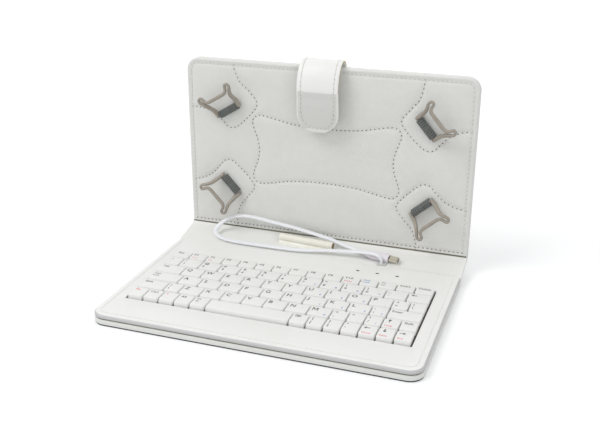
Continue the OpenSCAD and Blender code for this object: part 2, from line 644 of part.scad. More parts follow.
base_cover();
base_board();
catch_plate();
keyboard_frame();
back_plate();
circuit_film();
dome_sheet();
key_plate();
controller_board();
status_lights();
esc_key();
function_keys();
edit_keys();
number_keys();
backspace_key();
tab_key();
upper_letter_keys();
caps_lock_key();
middle_letter_keys();
enter_key();
left_shift_key();
lower_letter_keys();
up_key();
right_shift_key();
modifier_keys();
space_key();
symbol_keys();
left_key();
down_key();
right_key();
spine_cover();
spine_board();
spine_lining();
base_fold();
panel_fold();
stylus_loop();
cable_gland();
usb_cable();
plug_grip();
plug_tip();
back_cover();
back_board();
tablet_panel();
elastic_top_left();
elastic_top_right();
elastic_bottom_left();
elastic_bottom_right();
hook_top_left();
hook_top_right();
hook_bottom_left();
hook_bottom_right();
strap_root();
strap_top();
strap_band();
strap_tab();
strap_magnet();
kickstand_fold();
kickstand();
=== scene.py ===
"""A white leather keyboard case for a small tablet: its looks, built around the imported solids."""

from functools import cache
from math import cos, dist, exp, pi, radians, sin, sqrt

import bpy
from bpy.props import FloatProperty, FloatVectorProperty, PointerProperty
from mathutils import Matrix, Vector
from mathutils.kdtree import KDTree
from mathutils.noise import noise


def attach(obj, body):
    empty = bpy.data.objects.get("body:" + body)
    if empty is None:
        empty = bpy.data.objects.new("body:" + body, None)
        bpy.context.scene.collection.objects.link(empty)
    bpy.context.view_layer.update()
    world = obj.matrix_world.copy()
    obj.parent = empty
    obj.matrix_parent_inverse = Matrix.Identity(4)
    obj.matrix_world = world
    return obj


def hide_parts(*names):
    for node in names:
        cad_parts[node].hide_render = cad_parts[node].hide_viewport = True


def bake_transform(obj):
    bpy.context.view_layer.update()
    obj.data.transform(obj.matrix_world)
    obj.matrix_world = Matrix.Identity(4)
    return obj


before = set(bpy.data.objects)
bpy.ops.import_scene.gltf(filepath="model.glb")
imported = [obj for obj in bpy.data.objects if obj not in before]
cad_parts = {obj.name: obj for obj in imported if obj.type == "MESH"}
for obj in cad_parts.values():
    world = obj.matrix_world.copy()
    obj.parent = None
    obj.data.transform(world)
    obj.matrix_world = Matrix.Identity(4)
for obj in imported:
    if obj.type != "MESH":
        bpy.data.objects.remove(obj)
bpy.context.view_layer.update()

bl_info = {
    "name": "Tablet keyboard case",
    "version": (1, 0, 0),
    "blender": (4, 5, 0),
    "location": "3D View > Sidebar > Case",
    "description": "Leather, stitching, keys, hooks and cable of a keyboard case",
    "category": "Object",
}

MM = 0.001

# Sizes in millimetres, as in the part's own source
HALF_W = 205.0 / 2
LEAF_D = 124.5
CORNER_R = 9.0
BASE_H = 7.3
PARTING = 4.4  # height of the line where the frame's leather meets the cover's
CONTACT_SHADOW_H = 0.95  # height of the dark band painted up the board's sides as contact shadow
PAD_T = 3.8
PANEL_T = 7.3
SPINE_W = 22.4
SPINE_T = 3.2
SPINE_RISE = radians(10)
FOLD_GAP = 0.6  # height of the upper leaf's lower edge over its fold line
FOLD_Y = LEAF_D / 2
HOOK_X, HOOK_H = 70.0, 27.5  # the hooks' bars, off the middle of the upper leaf

KEYS_W = 182.0
KEYS_X = -0.5
ROW_D = 12.4
TOP_ROW_D = 10.9
FIELD_D = 72.9
KEYS_REAR = 25.2
KEY_GAP = 0.9
CAP_BOTTOM = 6.4
CAP_TOP = 9.3
WINDOW_GAP = 0.7


# ---- Places: a leaf's own frame has y away from the fold line and z off its inner face
def world_place(x, y, z):
    return Vector((x, y, z))


def base_place(x, y, z):
    return Vector((x, FOLD_Y + y, z))


def spine_place(x, s, n):
    return Vector((
        x,
        FOLD_Y + s * cos(SPINE_RISE) - n * sin(SPINE_RISE),
        BASE_H + s * sin(SPINE_RISE) + n * cos(SPINE_RISE),
    ))


def panel_place(x, h, n):
    foot = spine_place(0, SPINE_W, 0)
    return Vector((x, foot.y - n, foot.z + h))


def behind_place(x, h, n):
    """The upper leaf's frame with n off its rear side."""
    return panel_place(x, h, -n)


# ---- Lines and rings
def spread(start, end, count):
    """Numbers at even steps from start to end, with both."""
    return [start + (end - start) * k / count for k in range(count + 1)]


def turn(count):
    """Angles round a full circle."""
    return spread(0, 2 * pi, count)[:-1]


def superellipse(count, power):
    """Points round a unit superellipse."""
    angles = [2 * pi * (k + 0.5) / count for k in range(count)]
    return [tuple(abs(v) ** (2 / power) * (1 if v > 0 else -1) for v in (cos(a), sin(a)))
            for a in angles]


def rounded(x0, x1, y0, y1, r_near, r_far, inset=0.0, steps=8):
    """A rectangle with round corners, moved in by inset, counter-clockwise from its near left."""
    out = []
    for cx, cy, r, start in (
            (x0, y0, r_near, 180), (x1, y0, r_near, 270), (x1, y1, r_far, 0), (x0, y1, r_far, 90)):
        keep = max(r - inset, 0.02)
        mx = cx + (inset + keep) * (1 if cx == x0 else -1)
        my = cy + (inset + keep) * (1 if cy == y0 else -1)
        out += [(mx + keep * cos(radians(a)), my + keep * sin(radians(a)))
                for a in spread(start, start + 90, steps)]
    return out


def level_ring(z, *rectangle):
    """A rectangle with round corners, at a height."""
    return [(x, y, z) for x, y in rounded(*rectangle)]


def arc_profile(inset, z, r, start, end, steps=5):
    """Part of a profile: an arc about (inset, z), with 0 degrees outwards and 90 upwards."""
    return [(inset - r * cos(radians(a)), z + r * sin(radians(a)))
            for a in spread(start, end, steps)]


def smooth_line(points, per_span=6, closed=False):
    """A Catmull-Rom curve through the points, of any dimension."""
    n, out = len(points), []
    for i in range(n if closed else n - 1):
        p = [points[(i + k) % n] if closed else points[min(max(i + k, 0), n - 1)]
             for k in (-1, 0, 1, 2)]
        for t in spread(0, 1, per_span)[:-1]:
            out.append(tuple(
                0.5 * (2 * b + (c - a) * t + (2 * a - 5 * b + 4 * c - d) * t * t
                       + (3 * b - a - 3 * c + d) * t ** 3)
                for a, b, c, d in zip(*p)))
    return out if closed else out + [tuple(points[-1])]


def walked(points):
    """The length along a line up to each of its points."""
    lengths = [0.0]
    for a, b in zip(points, points[1:]):
        lengths.append(lengths[-1] + dist(a, b))
    return lengths


def even_line(points, pitch):
    """Points at an even pitch along a line, each with its direction."""
    lengths = walked(points)
    count = max(1, round(lengths[-1] / pitch))
    out, i = [], 0
    for at in spread(0, lengths[-1], count):
        at = min(at, lengths[-1] - 1e-6)
        while lengths[i + 1] < at:
            i += 1
        a, b, span = points[i], points[i + 1], lengths[i + 1] - lengths[i]
        share = (at - lengths[i]) / span
        out.append((tuple(p + (q - p) * share for p, q in zip(a, b)),
                    [(q - p) / span for p, q in zip(a, b)]))
    return out


# ---- Meshes
def new_object(name, data):
    """An object in the scene."""
    obj = bpy.data.objects.new(name, data)
    bpy.context.scene.collection.objects.link(obj)
    return obj


def add_piece(name, points, faces, place, *finishes, smooth=True, grain=None):
    """A mesh of points in a leaf's frame, in millimetres. It keeps those points for the grain."""
    mesh = bpy.data.meshes.new(name)
    mesh.from_pydata([place(*p) * MM for p in points], [], faces)
    lay = mesh.attributes.new("lay", "FLOAT_VECTOR", "POINT")
    lay.data.foreach_set("vector", [c * MM for p in (grain or points) for c in p])
    mesh.update()
    mesh.shade_smooth() if smooth else mesh.shade_flat()
    for key in finishes:
        mesh.materials.append(finish(key))
    return new_object(name, mesh)


def sharpen(obj, angle=35):
    """Edges between faces at more than this angle show as edges."""
    obj.data.set_sharp_from_angle(angle=radians(angle))
    return obj


def second_finish(obj, chosen):
    """Gives the piece's second finish to the faces that a test picks."""
    for face in obj.data.polygons:
        face.material_index = int(chosen(face))


def loft(rings, closed=True, cap_start=True, cap_end=True):
    """Points and faces of a skin through rings with equally many points."""
    n = len(rings[0])
    last = (len(rings) - 1) * n
    faces = []
    for i in range(0, last, n):
        for k in range(n if closed else n - 1):
            a, b = i + k, i + (k + 1) % n
            faces.append((a, b, b + n, a + n))
    if cap_start:
        faces.append(tuple(range(n))[::-1])
    if cap_end:
        faces.append(tuple(range(last, last + n)))
    return [p for ring in rings for p in ring], faces


def join_parts(parts):
    """Points and faces of several parts as one mesh."""
    points, faces = [], []
    for p, f in parts:
        start = len(points)
        points += p
        faces += [tuple(i + start for i in face) for face in f]
    return points, faces


def slab(x0, x1, y0, y1, r_near, r_far, profile, steps=8, caps=True):
    """A flat piece with round corners. The profile lists (inset, height) from below to above."""
    return loft([level_ring(z, x0, x1, y0, y1, r_near, r_far, inset, steps)
                 for inset, z in profile], True, caps, caps)


# ---- Finishes
def new_group(name, inputs, outputs):
    """An empty shader node group, with the sockets that give its inputs and take its outputs."""
    tree = bpy.data.node_groups.new(name, "ShaderNodeTree")
    for kind, listed in (("INPUT", inputs), ("OUTPUT", outputs)):
        for socket, form, default in listed:
            s = tree.interface.new_socket(socket, in_out=kind, socket_type="NodeSocket" + form)
            if default is not None:
                s.default_value = default
    return tree, tree.nodes.new("NodeGroupInput").outputs, tree.nodes.new("NodeGroupOutput").inputs


def node(tree, kind, sockets, **settings):
    """A shader node. Its sockets, by name or number, are set or linked to a node or a socket."""
    n = tree.nodes.new("ShaderNode" + kind)
    for key, value in settings.items():
        setattr(n, key, value)
    for key, value in sockets.items():
        if isinstance(value, bpy.types.Node):
            value = value.outputs[0]
        if isinstance(value, bpy.types.NodeSocket):
            tree.links.new(value, n.inputs[key])
        else:
            n.inputs[key].default_value = value
    return n


def maths(tree, operation, a, b=0.0, c=0.0):
    """The value of a Math node."""
    return node(tree, "Math", {0: a, 1: b, 2: c}, operation=operation).outputs[0]


def scaled(tree, vector, factor):
    """A vector or a colour times a number."""
    return node(tree, "VectorMath", {0: vector, "Scale": factor}, operation="SCALE").outputs[0]


def cross_grain_group():
    """Pressed leather: fine ridges that cross at two angles and break up here and there."""
    tree, given, out = new_group(
        "Cross grain",
        [("Place", "Vector", None), ("Ridge spacing", "Float", 0.0009), ("Break-up", "Float", 0.5)],
        [("Height", "Float", None), ("Ridges", "Float", None)])
    scale = maths(tree, "DIVIDE", 1.0, given["Ridge spacing"])
    place = scaled(tree, given["Place"], scale)
    patches = node(tree, "TexNoise", {"Vector": place, "Scale": 0.16, "Detail": 2.0})
    waves = []
    for angle, weight in ((48, 1.0), (-58, 0.55)):
        turned = node(tree, "VectorRotate", {"Vector": place, "Angle": radians(angle)},
                      rotation_type="Z_AXIS")
        wave = node(tree, "TexWave", {"Vector": turned, "Scale": 0.3, "Distortion": 1.6,
                                      "Detail": 2.0, "Detail Scale": 0.7})
        waves.append(maths(tree, "MULTIPLY", wave.outputs["Fac"], weight))
    both = maths(tree, "ADD", *waves)
    fine = node(tree, "TexNoise", {"Vector": place, "Scale": 1.4, "Detail": 3.0})
    broken = maths(tree, "MULTIPLY", given["Break-up"], patches.outputs["Fac"])
    kept = maths(tree, "SUBTRACT", 1.0, broken)
    ridges = maths(tree, "MULTIPLY", both, kept)
    height = maths(tree, "ADD", ridges, maths(tree, "MULTIPLY", fine.outputs["Fac"], 0.5))
    tree.links.new(height, out["Height"])
    tree.links.new(ridges, out["Ridges"])


def handling_and_fold_tint_group():
    """Handled surfaces: slow changes of tone, a little grime in patches, and the same colour mixed
    in more strongly where the surface is concave.
    """
    tree, given, out = new_group(
        "Handling",
        [("Place", "Vector", None), ("Colour", "Color", (0.8, 0.8, 0.8, 1)),
         ("Dirt colour", "Color", (0.5, 0.47, 0.4, 1)), ("Dirt", "Float", 0.15),
         ("Patch size", "Float", 0.03)],
        [("Colour", "Color", None), ("Dirt", "Float", None)])
    scale = maths(tree, "DIVIDE", 1.0, given["Patch size"])
    patches = node(tree, "TexNoise", {"Vector": given["Place"], "Scale": scale, "Detail": 4.0})
    bend = node(tree, "NewGeometry", {}).outputs["Pointiness"]
    # More of the mixed colour where Pointiness finds the surface concave, in creases and inner
    # corners
    fold_tint = node(tree, "MapRange", {"Value": bend, "From Min": 0.5, "From Max": 0.42,
                                    "To Min": 0.0, "To Max": 1.0})
    cloud = node(tree, "MapRange", {"Value": patches.outputs["Fac"], "From Min": 0.45,
                                    "From Max": 0.75, "To Max": 0.6})
    dirt = maths(tree, "MULTIPLY", maths(tree, "ADD", fold_tint, cloud), given["Dirt"])
    mixed = node(tree, "Mix", {0: dirt, 6: given["Colour"], 7: given["Dirt colour"]},
                 data_type="RGBA")
    tree.links.new(mixed.outputs[2], out["Colour"])
    tree.links.new(dirt, out["Dirt"])


@cache
def material(name, colour, roughness, grain=None, bump=0.03, dirt=0.12, patch=30, inner=False,
             dirt_colour=(0.5, 0.47, 0.4), metallic=0.0, specular=0.5, sheen=0.0):
    """A finish, made once. Its bump and its patches are in millimetres, and pressed leather has
    a grain of ridge spacing, break-up and share of the colour. Inner pieces have no lay."""
    m = bpy.data.materials.new(name)
    m.use_nodes = True
    tree = m.node_tree
    shader = tree.nodes["Principled BSDF"].inputs
    for key, value in (("Metallic", metallic), ("Specular IOR Level", specular),
                       ("Sheen Weight", sheen)):
        shader[key].default_value = value
    if inner:
        place = node(tree, "TexCoord", {}).outputs["Object"]
    else:
        place = node(tree, "Attribute", {}, attribute_name="lay").outputs["Vector"]
    handled_and_folds = node(tree, "Group", {
        "Place": place, "Colour": (*colour, 1), "Dirt colour": (*dirt_colour, 1), "Dirt": dirt,
        "Patch size": patch * MM}, node_tree=bpy.data.node_groups["Handling"])
    base = handled_and_folds.outputs["Colour"]
    rough = maths(tree, "MULTIPLY_ADD", handled_and_folds.outputs["Dirt"], 0.3, roughness)
    if grain:
        spacing, break_up, tone = grain
        pressed = node(tree, "Group", {
            "Place": place, "Ridge spacing": spacing * MM, "Break-up": break_up},
            node_tree=bpy.data.node_groups["Cross grain"])
        height = pressed.outputs["Height"]
        darker = node(tree, "MapRange", {"Value": pressed.outputs["Ridges"], "From Max": 1.2,
                                         "To Min": 1 - tone, "To Max": 1.0})
        base = scaled(tree, base, darker)
        rough = maths(tree, "MULTIPLY_ADD", pressed.outputs["Ridges"], -0.08, rough)
    else:
        height = node(tree, "TexNoise", {
            "Vector": place, "Scale": 1800.0, "Detail": 2.0}).outputs["Fac"]
    tree.links.new(base, shader["Base Color"])
    tree.links.new(rough, shader["Roughness"])
    bumped = node(tree, "Bump", {"Height": height, "Distance": bump * MM})
    tree.links.new(bumped.outputs["Normal"], shader["Normal"])
    return m


FINISHES = {  # name, colour or the setting that holds it, roughness, and the rest by name
    "panel_leather": ("Panel leather", "leather", 0.5,
                      dict(grain=(1.0, 0.7, 0.14), bump=0.09, specular=0.35)),
    "tab_leather": ("Tab leather", (0.69, 0.69, 0.665), 0.45,
                    dict(grain=(0.8, 0.8, 0.08), bump=0.04, specular=0.35)),
    "rim_leather": ("Rim leather", (0.84, 0.835, 0.81), 0.45,
                    dict(grain=(0.6, 0.8, 0.02), bump=0.012, specular=0.35)),
    "raw_edge": ("Raw edge", (0.52, 0.43, 0.23), 0.8,
                 dict(dirt=0.35, patch=4, dirt_colour=(0.75, 0.72, 0.62))),
    # painted shade: a greyer copy of the frame's smooth leather for the bezel's sloping and upright
    # faces
    "bevel_leather": ("Bevelled edge leather", (0.56, 0.56, 0.555), 0.45,
                      dict(grain=(0.6, 0.8, 0.03), bump=0.012, specular=0.35)),
    # painted contact shadow: the dark navy at the foot of the lower board
    "underside": ("Underside", (0.035, 0.04, 0.065), 0.7, dict(dirt=0.2, bump=0.02)),
    "smooth_leather": ("Smooth leather", "smooth_leather", 0.45,
                       dict(grain=(0.6, 0.8, 0.015), bump=0.012, specular=0.35)),
    "edge_leather": ("Turned edge leather", "leather", 0.5,
                     dict(grain=(0.7, 0.6, 0.04), specular=0.35)),
    "lining": ("Lining", "lining", 0.5,
               dict(grain=(0.7, 0.8, 0.015), bump=0.015, dirt=0.1, specular=0.35)),
    # painted shade: dark olive for the grooves between the leathers and the gap at the upper leaf's
    # foot
    "crease": ("Crease", (0.15, 0.14, 0.095), 0.7, dict(dirt=0.2)),
    "loop": ("Stylus loop leather", (0.90, 0.89, 0.82), 0.5,
             dict(grain=(0.6, 0.8, 0.02), bump=0.02, dirt_colour=(0.55, 0.45, 0.24), dirt=0.25,
                  patch=6)),
    "loop_inside": ("Raw leather", (0.42, 0.29, 0.12), 0.85, dict(dirt=0.3, patch=2)),
    "cap": ("Key plastic", "keycap", 0.42, dict(dirt=0.03, bump=0.006, specular=0.4)),
    "hook": ("Hook rubber", "hook", 0.38,
             dict(dirt=0.35, patch=4, dirt_colour=(0.16, 0.13, 0.11), bump=0.02)),
    "elastic": ("Elastic webbing", "elastic", 0.85,
                dict(dirt=0.4, patch=1, dirt_colour=(0.02, 0.022, 0.02), bump=0.1, sheen=0.3)),
    # painted highlight: a lighter copy of the webbing for its raised ribs, where light catches them
    "rib": ("Webbing rib", (0.19, 0.2, 0.19), 0.85,
            dict(dirt=0.3, patch=1, dirt_colour=(0.06, 0.065, 0.06), bump=0.1)),
    "cable": ("Cable sheath", "cable", 0.35, dict(dirt=0.04, bump=0.006)),
    "plug": ("Plug plastic", (0.80, 0.77, 0.82), 0.4,
             dict(dirt=0.25, patch=6, dirt_colour=(0.55, 0.42, 0.40), bump=0.008)),
    "plating": ("Plated shell", (0.72, 0.68, 0.58), 0.3,
                dict(dirt=0.2, patch=2, metallic=1.0, bump=0.004)),
    "steel": ("Plated steel", (0.62, 0.62, 0.60), 0.28,
              dict(dirt=0.2, patch=2, inner=True, metallic=1.0, bump=0.004)),
    "thread": ("Thread", "thread", 0.7, dict(dirt=0.2, patch=2, bump=0.04)),
    # painted shade: dark and pale ovals stand for the shade inside deep and shallow needle holes
    "hole": ("Needle hole", "needle_hole", 0.9, dict(dirt=0.1, patch=4)),
    "pale_hole": ("Shallow needle hole", (0.42, 0.41, 0.37), 0.9, dict(dirt=0.1)),
    "ink": ("Dark legend", (0.07, 0.07, 0.075), 0.5, dict(dirt=0.1, bump=0.002)),
    "red_ink": ("Red legend", (0.75, 0.10, 0.13), 0.5, dict(dirt=0.05, bump=0.002)),
    "blue_ink": ("Blue legend", (0.05, 0.19, 0.55), 0.5, dict(dirt=0.05, bump=0.002)),
    "lamp_lens": ("Lamp lens", (0.06, 0.06, 0.06), 0.25, dict(dirt=0.1, inner=True, bump=0.002)),
    "hollow": ("Dark plastic", (0.05, 0.048, 0.042), 0.8, dict(dirt=0.3, patch=10, inner=True)),
    "gland": ("Cable bush", (0.55, 0.55, 0.54), 0.5, dict(dirt=0.2, patch=3)),
    "board": ("Grey board", (0.36, 0.33, 0.28), 0.9,
              dict(dirt=0.3, patch=4, inner=True, bump=0.05)),
    "circuit": ("Circuit board", (0.04, 0.16, 0.09), 0.4, dict(dirt=0.2, inner=True)),
    "film": ("Circuit film", (0.62, 0.66, 0.52), 0.35, dict(dirt=0.1, inner=True)),
}


def finish(key):
    """A finish's material, in the colour that the settings give it."""
    if "Handling" not in bpy.data.node_groups:
        cross_grain_group()
        handling_and_fold_tint_group()
    name, colour, roughness, rest = FINISHES[key]
    if isinstance(colour, str):
        colour = getattr(bpy.context.scene.case_colours, colour)
    return material(name, tuple(colour), roughness, **rest)


# ---- Sewing
THREAD = [(-1.0, 0.0), (-7 / 11, 0.2), (0.0, 0.26), (7 / 11, 0.2), (1.0, 0.0)]


def chosen_size(name):
    """A size from the add-on's settings, in millimetres."""
    return getattr(bpy.context.scene.case_sizes, name) / MM


def stitches(name, lines, place, hole_finish, height=0.0, width=None, hole=0.5, lift=1.0,
             pitch=None):
    """Rows of stitches along lines of (x, y, z) points: short threads between needle holes."""
    width = width or chosen_size("thread")
    pitch = pitch or chosen_size("stitch")
    threads, holes = [], []
    for line in lines:
        stops = even_line(line, pitch)
        for (p, _), (q, _) in zip(stops, stops[1:]):
            along = Vector(q) - Vector(p)
            side = Vector((-along.y, along.x, 0)).normalized()
            half = along.length / 2 - hole * 0.35
            rings = []
            for t, rise in THREAD:
                c = (Vector(p) + Vector(q)) / 2 + along.normalized() * t * half
                c.z += height + rise * lift - 0.05
                w = width / 2 * (0.55 if abs(t) == 1 else 1)
                rings.append([c + side * w * cos(a) + Vector((0, 0, w * 0.8 * sin(a)))
                              for a in turn(6)])
            threads.append(loft(rings))
        # Each needle hole is a flat oval in a dark finish: painted shade in the hole
        for p, d in stops:
            flat = Vector((d[0], d[1], 0)).normalized() * hole
            side = Vector((-flat.y, flat.x, 0))
            middle = Vector(p) + Vector((0, 0, height + 0.02))
            holes.append(([middle + flat * 0.62 * cos(a) + side * 0.45 * sin(a)
                           for a in turn(8)], [tuple(range(8))]))
    return [add_piece(name + "_thread", *join_parts(threads), place, "thread"),
            add_piece(name + "_holes", *join_parts(holes), place, hole_finish)]


# ---- Cable
ROUTE = [
    (48, 2.4, 1.2), (48, 2.4, 3), (47.4, 2.9, 4.8), (45.6, 3.6, 6), (42.5, 4.4, 6.4),
    (38, 5, 6.2), (33, 5.6, 5.6), (28, 6, 4.8), (22, 6, 4.2), (16, 5.6, 3.8), (9, 5, 3.4),
    (2, 4.2, 2.9), (-6, 3.2, 2.3), (-15, 2.7, 1.8), (-25, 2.5, 1.6), (-36, 2.4, 1.6),
    (-47, 2.4, 1.6), (-57, 2.5, 1.6), (-65.5, 3, 1.7), (-71.5, 4.2, 2), (-75.5, 6, 2.6),
    (-78, 8.6, 3.2), (-78.6, 11.4, 4.1), (-78, 14, 5.3), (-76, 16, 6.9), (-72.8, 17.6, 9.1),
    (-68.6, 18.8, 11.1), (-64, 19.6, 12.4), (-58, 20, 13), (-51, 20, 12.8), (-44, 19.8, 12),
    (-36, 19.6, 11), (-28, 19.4, 10), (-20, 19.2, 9), (-12, 18.8, 7.8), (-4, 18, 6.8),
    (3, 17.1, 5.9), (9, 16.2, 5), (14, 15.1, 4.1), (19, 13.9, 3.4), (24, 12.6, 3), (29, 11, 2.7),
    (32.5, 9.8, 2.6), (34.5, 9.4, 2.6),
]
CABLE_D, CABLE_W, CABLE_T, CABLE_SIDES = 2.8, 3.2, 1.7, 14
PLUG_TURN = radians(-8)
PLUG_GRIP = [  # along, width and thickness: it has a shallow waist where it is held
    (0, 3.2, 2.4), (0.8, 3.9, 3.0), (2.5, 4.9, 3.7), (4.6, 6.1, 4.5), (6.2, 6.5, 4.75),
    (9.5, 6.35, 4.6), (13, 6.45, 4.7), (16.6, 6.6, 4.8), (17.5, 6.45, 4.65), (17.95, 5.9, 4.1),
]
SHELL = [(-2.6, -0.3), (-1.9, -0.9), (1.9, -0.9), (2.6, -0.3), (2.6, 0.9), (-2.6, 0.9)]


def plug_place(x, y, z):
    """The plug's own frame: x along it from the cable's end, y across it."""
    tail_x, tail_s, tail_n = ROUTE[-1]
    return spine_place(tail_x + x * cos(PLUG_TURN) - y * sin(PLUG_TURN),
                       tail_s + x * sin(PLUG_TURN) + y * cos(PLUG_TURN), tail_n + z)


def plug_skin(sections, power):
    """A skin through softly squared sections, each with its place along the plug and its size."""
    return loft([[(x, u * w / 2, v * t / 2) for u, v in superellipse(20, power)]
                 for x, w, t in sections])


def gland_place(x, y, z):
    return spine_place(ROUTE[0][0] + x, ROUTE[0][1] + y, z)


def ribbon_cable(line):
    """Rings of a flat cord along a line. Its width stays as level as the line lets it."""
    points = [Vector(p) for p in line]
    across = Vector((0, 1, 0))
    rings = []
    for p, before, after in zip(points, points[:1] + points, points[1:] + points[-1:]):
        d = (after - before).normalized()
        level = d.cross(Vector((0, 0, 1)))
        across = (across - d * across.dot(d)).normalized()
        if level.length > 0.3:
            level *= (-1 if level.dot(across) < 0 else 1) / level.length
            across = across * 0.8 + level * 0.2
            across = (across - d * across.dot(d)).normalized()
        up = across.cross(d)
        rings.append([p + across * u * CABLE_W / 2 + up * v * CABLE_T / 2
                      for u, v in superellipse(CABLE_SIDES, 3.2)])
    return rings


def build_cable():
    line = smooth_line(ROUTE, 5)
    cable = add_piece("usb_cord", *loft(ribbon_cable(line)), spine_place, "cable",
                      grain=[(i * 0.3, k * 0.4, 0) for i in range(len(line))
                             for k in range(CABLE_SIDES)])
    grip = add_piece("plug_grip_skin", *plug_skin(PLUG_GRIP, 3.4), plug_place, "plug")
    mouth = add_piece("plug_mouth", *plug_skin([(17.97, 5.6, 3.6), (18.02, 5.4, 3.4)], 3),
                      plug_place, "hollow")
    lip = [(y * 0.96, z * 0.93) for y, z in SHELL]
    inner = [(y * 0.86, z * 0.78 + 0.03) for y, z in SHELL]
    tip = add_piece("plug_tip_shell", *loft(
        [[(x, y, z) for y, z in ring] for x, ring in (
            (17.2, SHELL), (24.3, SHELL), (24.6, lip), (24.6, inner), (20.0, inner))]),
        plug_place, "plating", smooth=False)
    tongue = add_piece("plug_tongue", *slab(20, 24.2, -1.7, 1.7, 0.2, 0.2,
                                            [(0, -0.05), (0, 0.35)], 2),
                       plug_place, "hollow", smooth=False)
    bush = add_piece("cable_bush", *slab(-3.2, 3.2, -1.8, 1.8, 1.2, 1.2,
                                         [(0, 0.02), (0, 0.8), (0.15, 1.1), (0.6, 1.2)], 5),
                     gland_place, "gland")
    for piece in (cable, grip, mouth, tip, tongue, bush):
        sharpen(piece, 50)
        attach(piece, "spine")
    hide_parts("usb_cable")
    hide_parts("plug_grip")
    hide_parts("plug_tip")
    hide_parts("cable_gland")


# ---- Lower leaf
WELL_H = 4.75
BEZEL_SEAM_IN = 4.1
LAMPS_X, LAMPS_Y = (35.2, 48.7, 62.2), -11.6


def leaf_slab(profile, caps=True):
    """A slab over the whole lower leaf."""
    return slab(-HALF_W, HALF_W, -LEAF_D, 0, CORNER_R, 0.4, profile, 9, caps)


def build_lower_leaf():
    x0, x1 = KEYS_X - KEYS_W / 2 - WINDOW_GAP, KEYS_X + KEYS_W / 2 + WINDOW_GAP
    near, far = -KEYS_REAR - FIELD_D - WINDOW_GAP, -KEYS_REAR + WINDOW_GAP
    profile = [(0.7, PARTING + 0.35), (0.15, PARTING + 0.5), (0.0, PARTING + 0.9)]
    profile += arc_profile(1.7, BASE_H - 1.7, 1.7, 0, 90, 7)
    rings = [level_ring(z, -HALF_W, HALF_W, -LEAF_D, inset, CORNER_R, 0.4, inset)
             for inset, z in profile]
    rings += [level_ring(z, x0 + grow, x1 - grow, near + grow, far - grow, 0.8, 0.8)
              for grow, z in ((-0.35, BASE_H), (-0.1, 7.2), (0.0, 6.9), (0.0, 3.5))]
    bezel = add_piece("keyboard_bezel", *loft(rings, True, False, False), base_place,
                      "smooth_leather", "bevel_leather")
    # The bezel's sloping and upright faces take the greyer copy of the leather: painted shade where
    # less light falls on them
    second_finish(bezel, lambda f: f.normal.z < 0.85)
    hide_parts("keyboard_frame")
    board = add_piece("base_board_cover", *leaf_slab([
        (1.2, 0.0), (0.4, 0.06), (0.2, CONTACT_SHADOW_H), (0, CONTACT_SHADOW_H + 0.2), (0, PARTING - 0.9),
        (0.2, PARTING - 0.5), (0.7, PARTING - 0.35)]), base_place, "edge_leather", "underside")
    # The bottom face and the lowest millimetre of the sides take a dark navy: painted contact
    # shadow where the case meets the table
    second_finish(board, lambda f: f.center.z < CONTACT_SHADOW_H * MM and f.normal.z < 0.5)
    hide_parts("base_cover")
    # A dark strip in the groove at the parting line: painted shade in the groove
    groove = add_piece("base_seam", *leaf_slab(
        [(0.75, PARTING - 0.6), (0.75, PARTING + 0.6)], False), base_place, "crease")
    well = add_piece("key_well", [(x, y, WELL_H) for x, y in (
        (x0, near), (x1, near), (x1, far), (x0, far))], [(0, 1, 2, 3)], base_place, "hollow")
    line = level_ring(BASE_H, -HALF_W, HALF_W, -LEAF_D, 4.4, CORNER_R, 0.4, BEZEL_SEAM_IN)
    seam_x = HALF_W - BEZEL_SEAM_IN
    edge = [(-seam_x, -2.5, BASE_H), *line[:len(line) // 2], (seam_x, -2.5, BASE_H)]
    sewn = stitches("bezel_stitch", [edge], base_place, "pale_hole", width=0.36, hole=0.34,
                    pitch=3.1)
    lamps = [loft([[(x + r * 1.25 * cos(a), LAMPS_Y + r * 0.8 * sin(a), z) for a in turn(20)]
                   for r, z in ((1.0, 7.31), (0.92, 7.38), (0.7, 7.41), (0.3, 7.42))])
             for x in LAMPS_X]
    lenses = add_piece("lamp_lenses", *join_parts(lamps), base_place, "lamp_lens")
    for piece in [bezel, board, groove, well, lenses] + sewn:
        sharpen(piece, 40)
        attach(piece, "lower_leaf")


# ---- Keys
LETTER, SMALL, ENTER = 14.25, 10.65, 21.0
ROWS = [  # widths, with 0 for the key that takes what is left
    [KEYS_W / 15] * 15,
    [SMALL] + [LETTER] * 11 + [0],
    [0] + [LETTER] * 10 + [SMALL] * 2,
    [0] + [LETTER] * 9 + [SMALL, ENTER],
    [0, SMALL] + [LETTER] * 7 + [SMALL] * 5,
    [SMALL] * 5 + [0] + [SMALL] * 7,
]
KEY_NODES = [  # row, first and last key
    ("esc_key", 0, 0, 0), ("function_keys", 0, 1, 10), ("edit_keys", 0, 11, 14),
    ("number_keys", 1, 0, 11), ("backspace_key", 1, 12, 12), ("tab_key", 2, 0, 0),
    ("upper_letter_keys", 2, 1, 12), ("caps_lock_key", 3, 0, 0), ("middle_letter_keys", 3, 1, 10),
    ("enter_key", 3, 11, 11), ("left_shift_key", 4, 0, 0), ("lower_letter_keys", 4, 1, 11),
    ("up_key", 4, 12, 12), ("right_shift_key", 4, 13, 13), ("modifier_keys", 5, 0, 4),
    ("space_key", 5, 5, 5), ("symbol_keys", 5, 6, 9), ("left_key", 5, 10, 10),
    ("down_key", 5, 11, 11), ("right_key", 5, 12, 12),
]
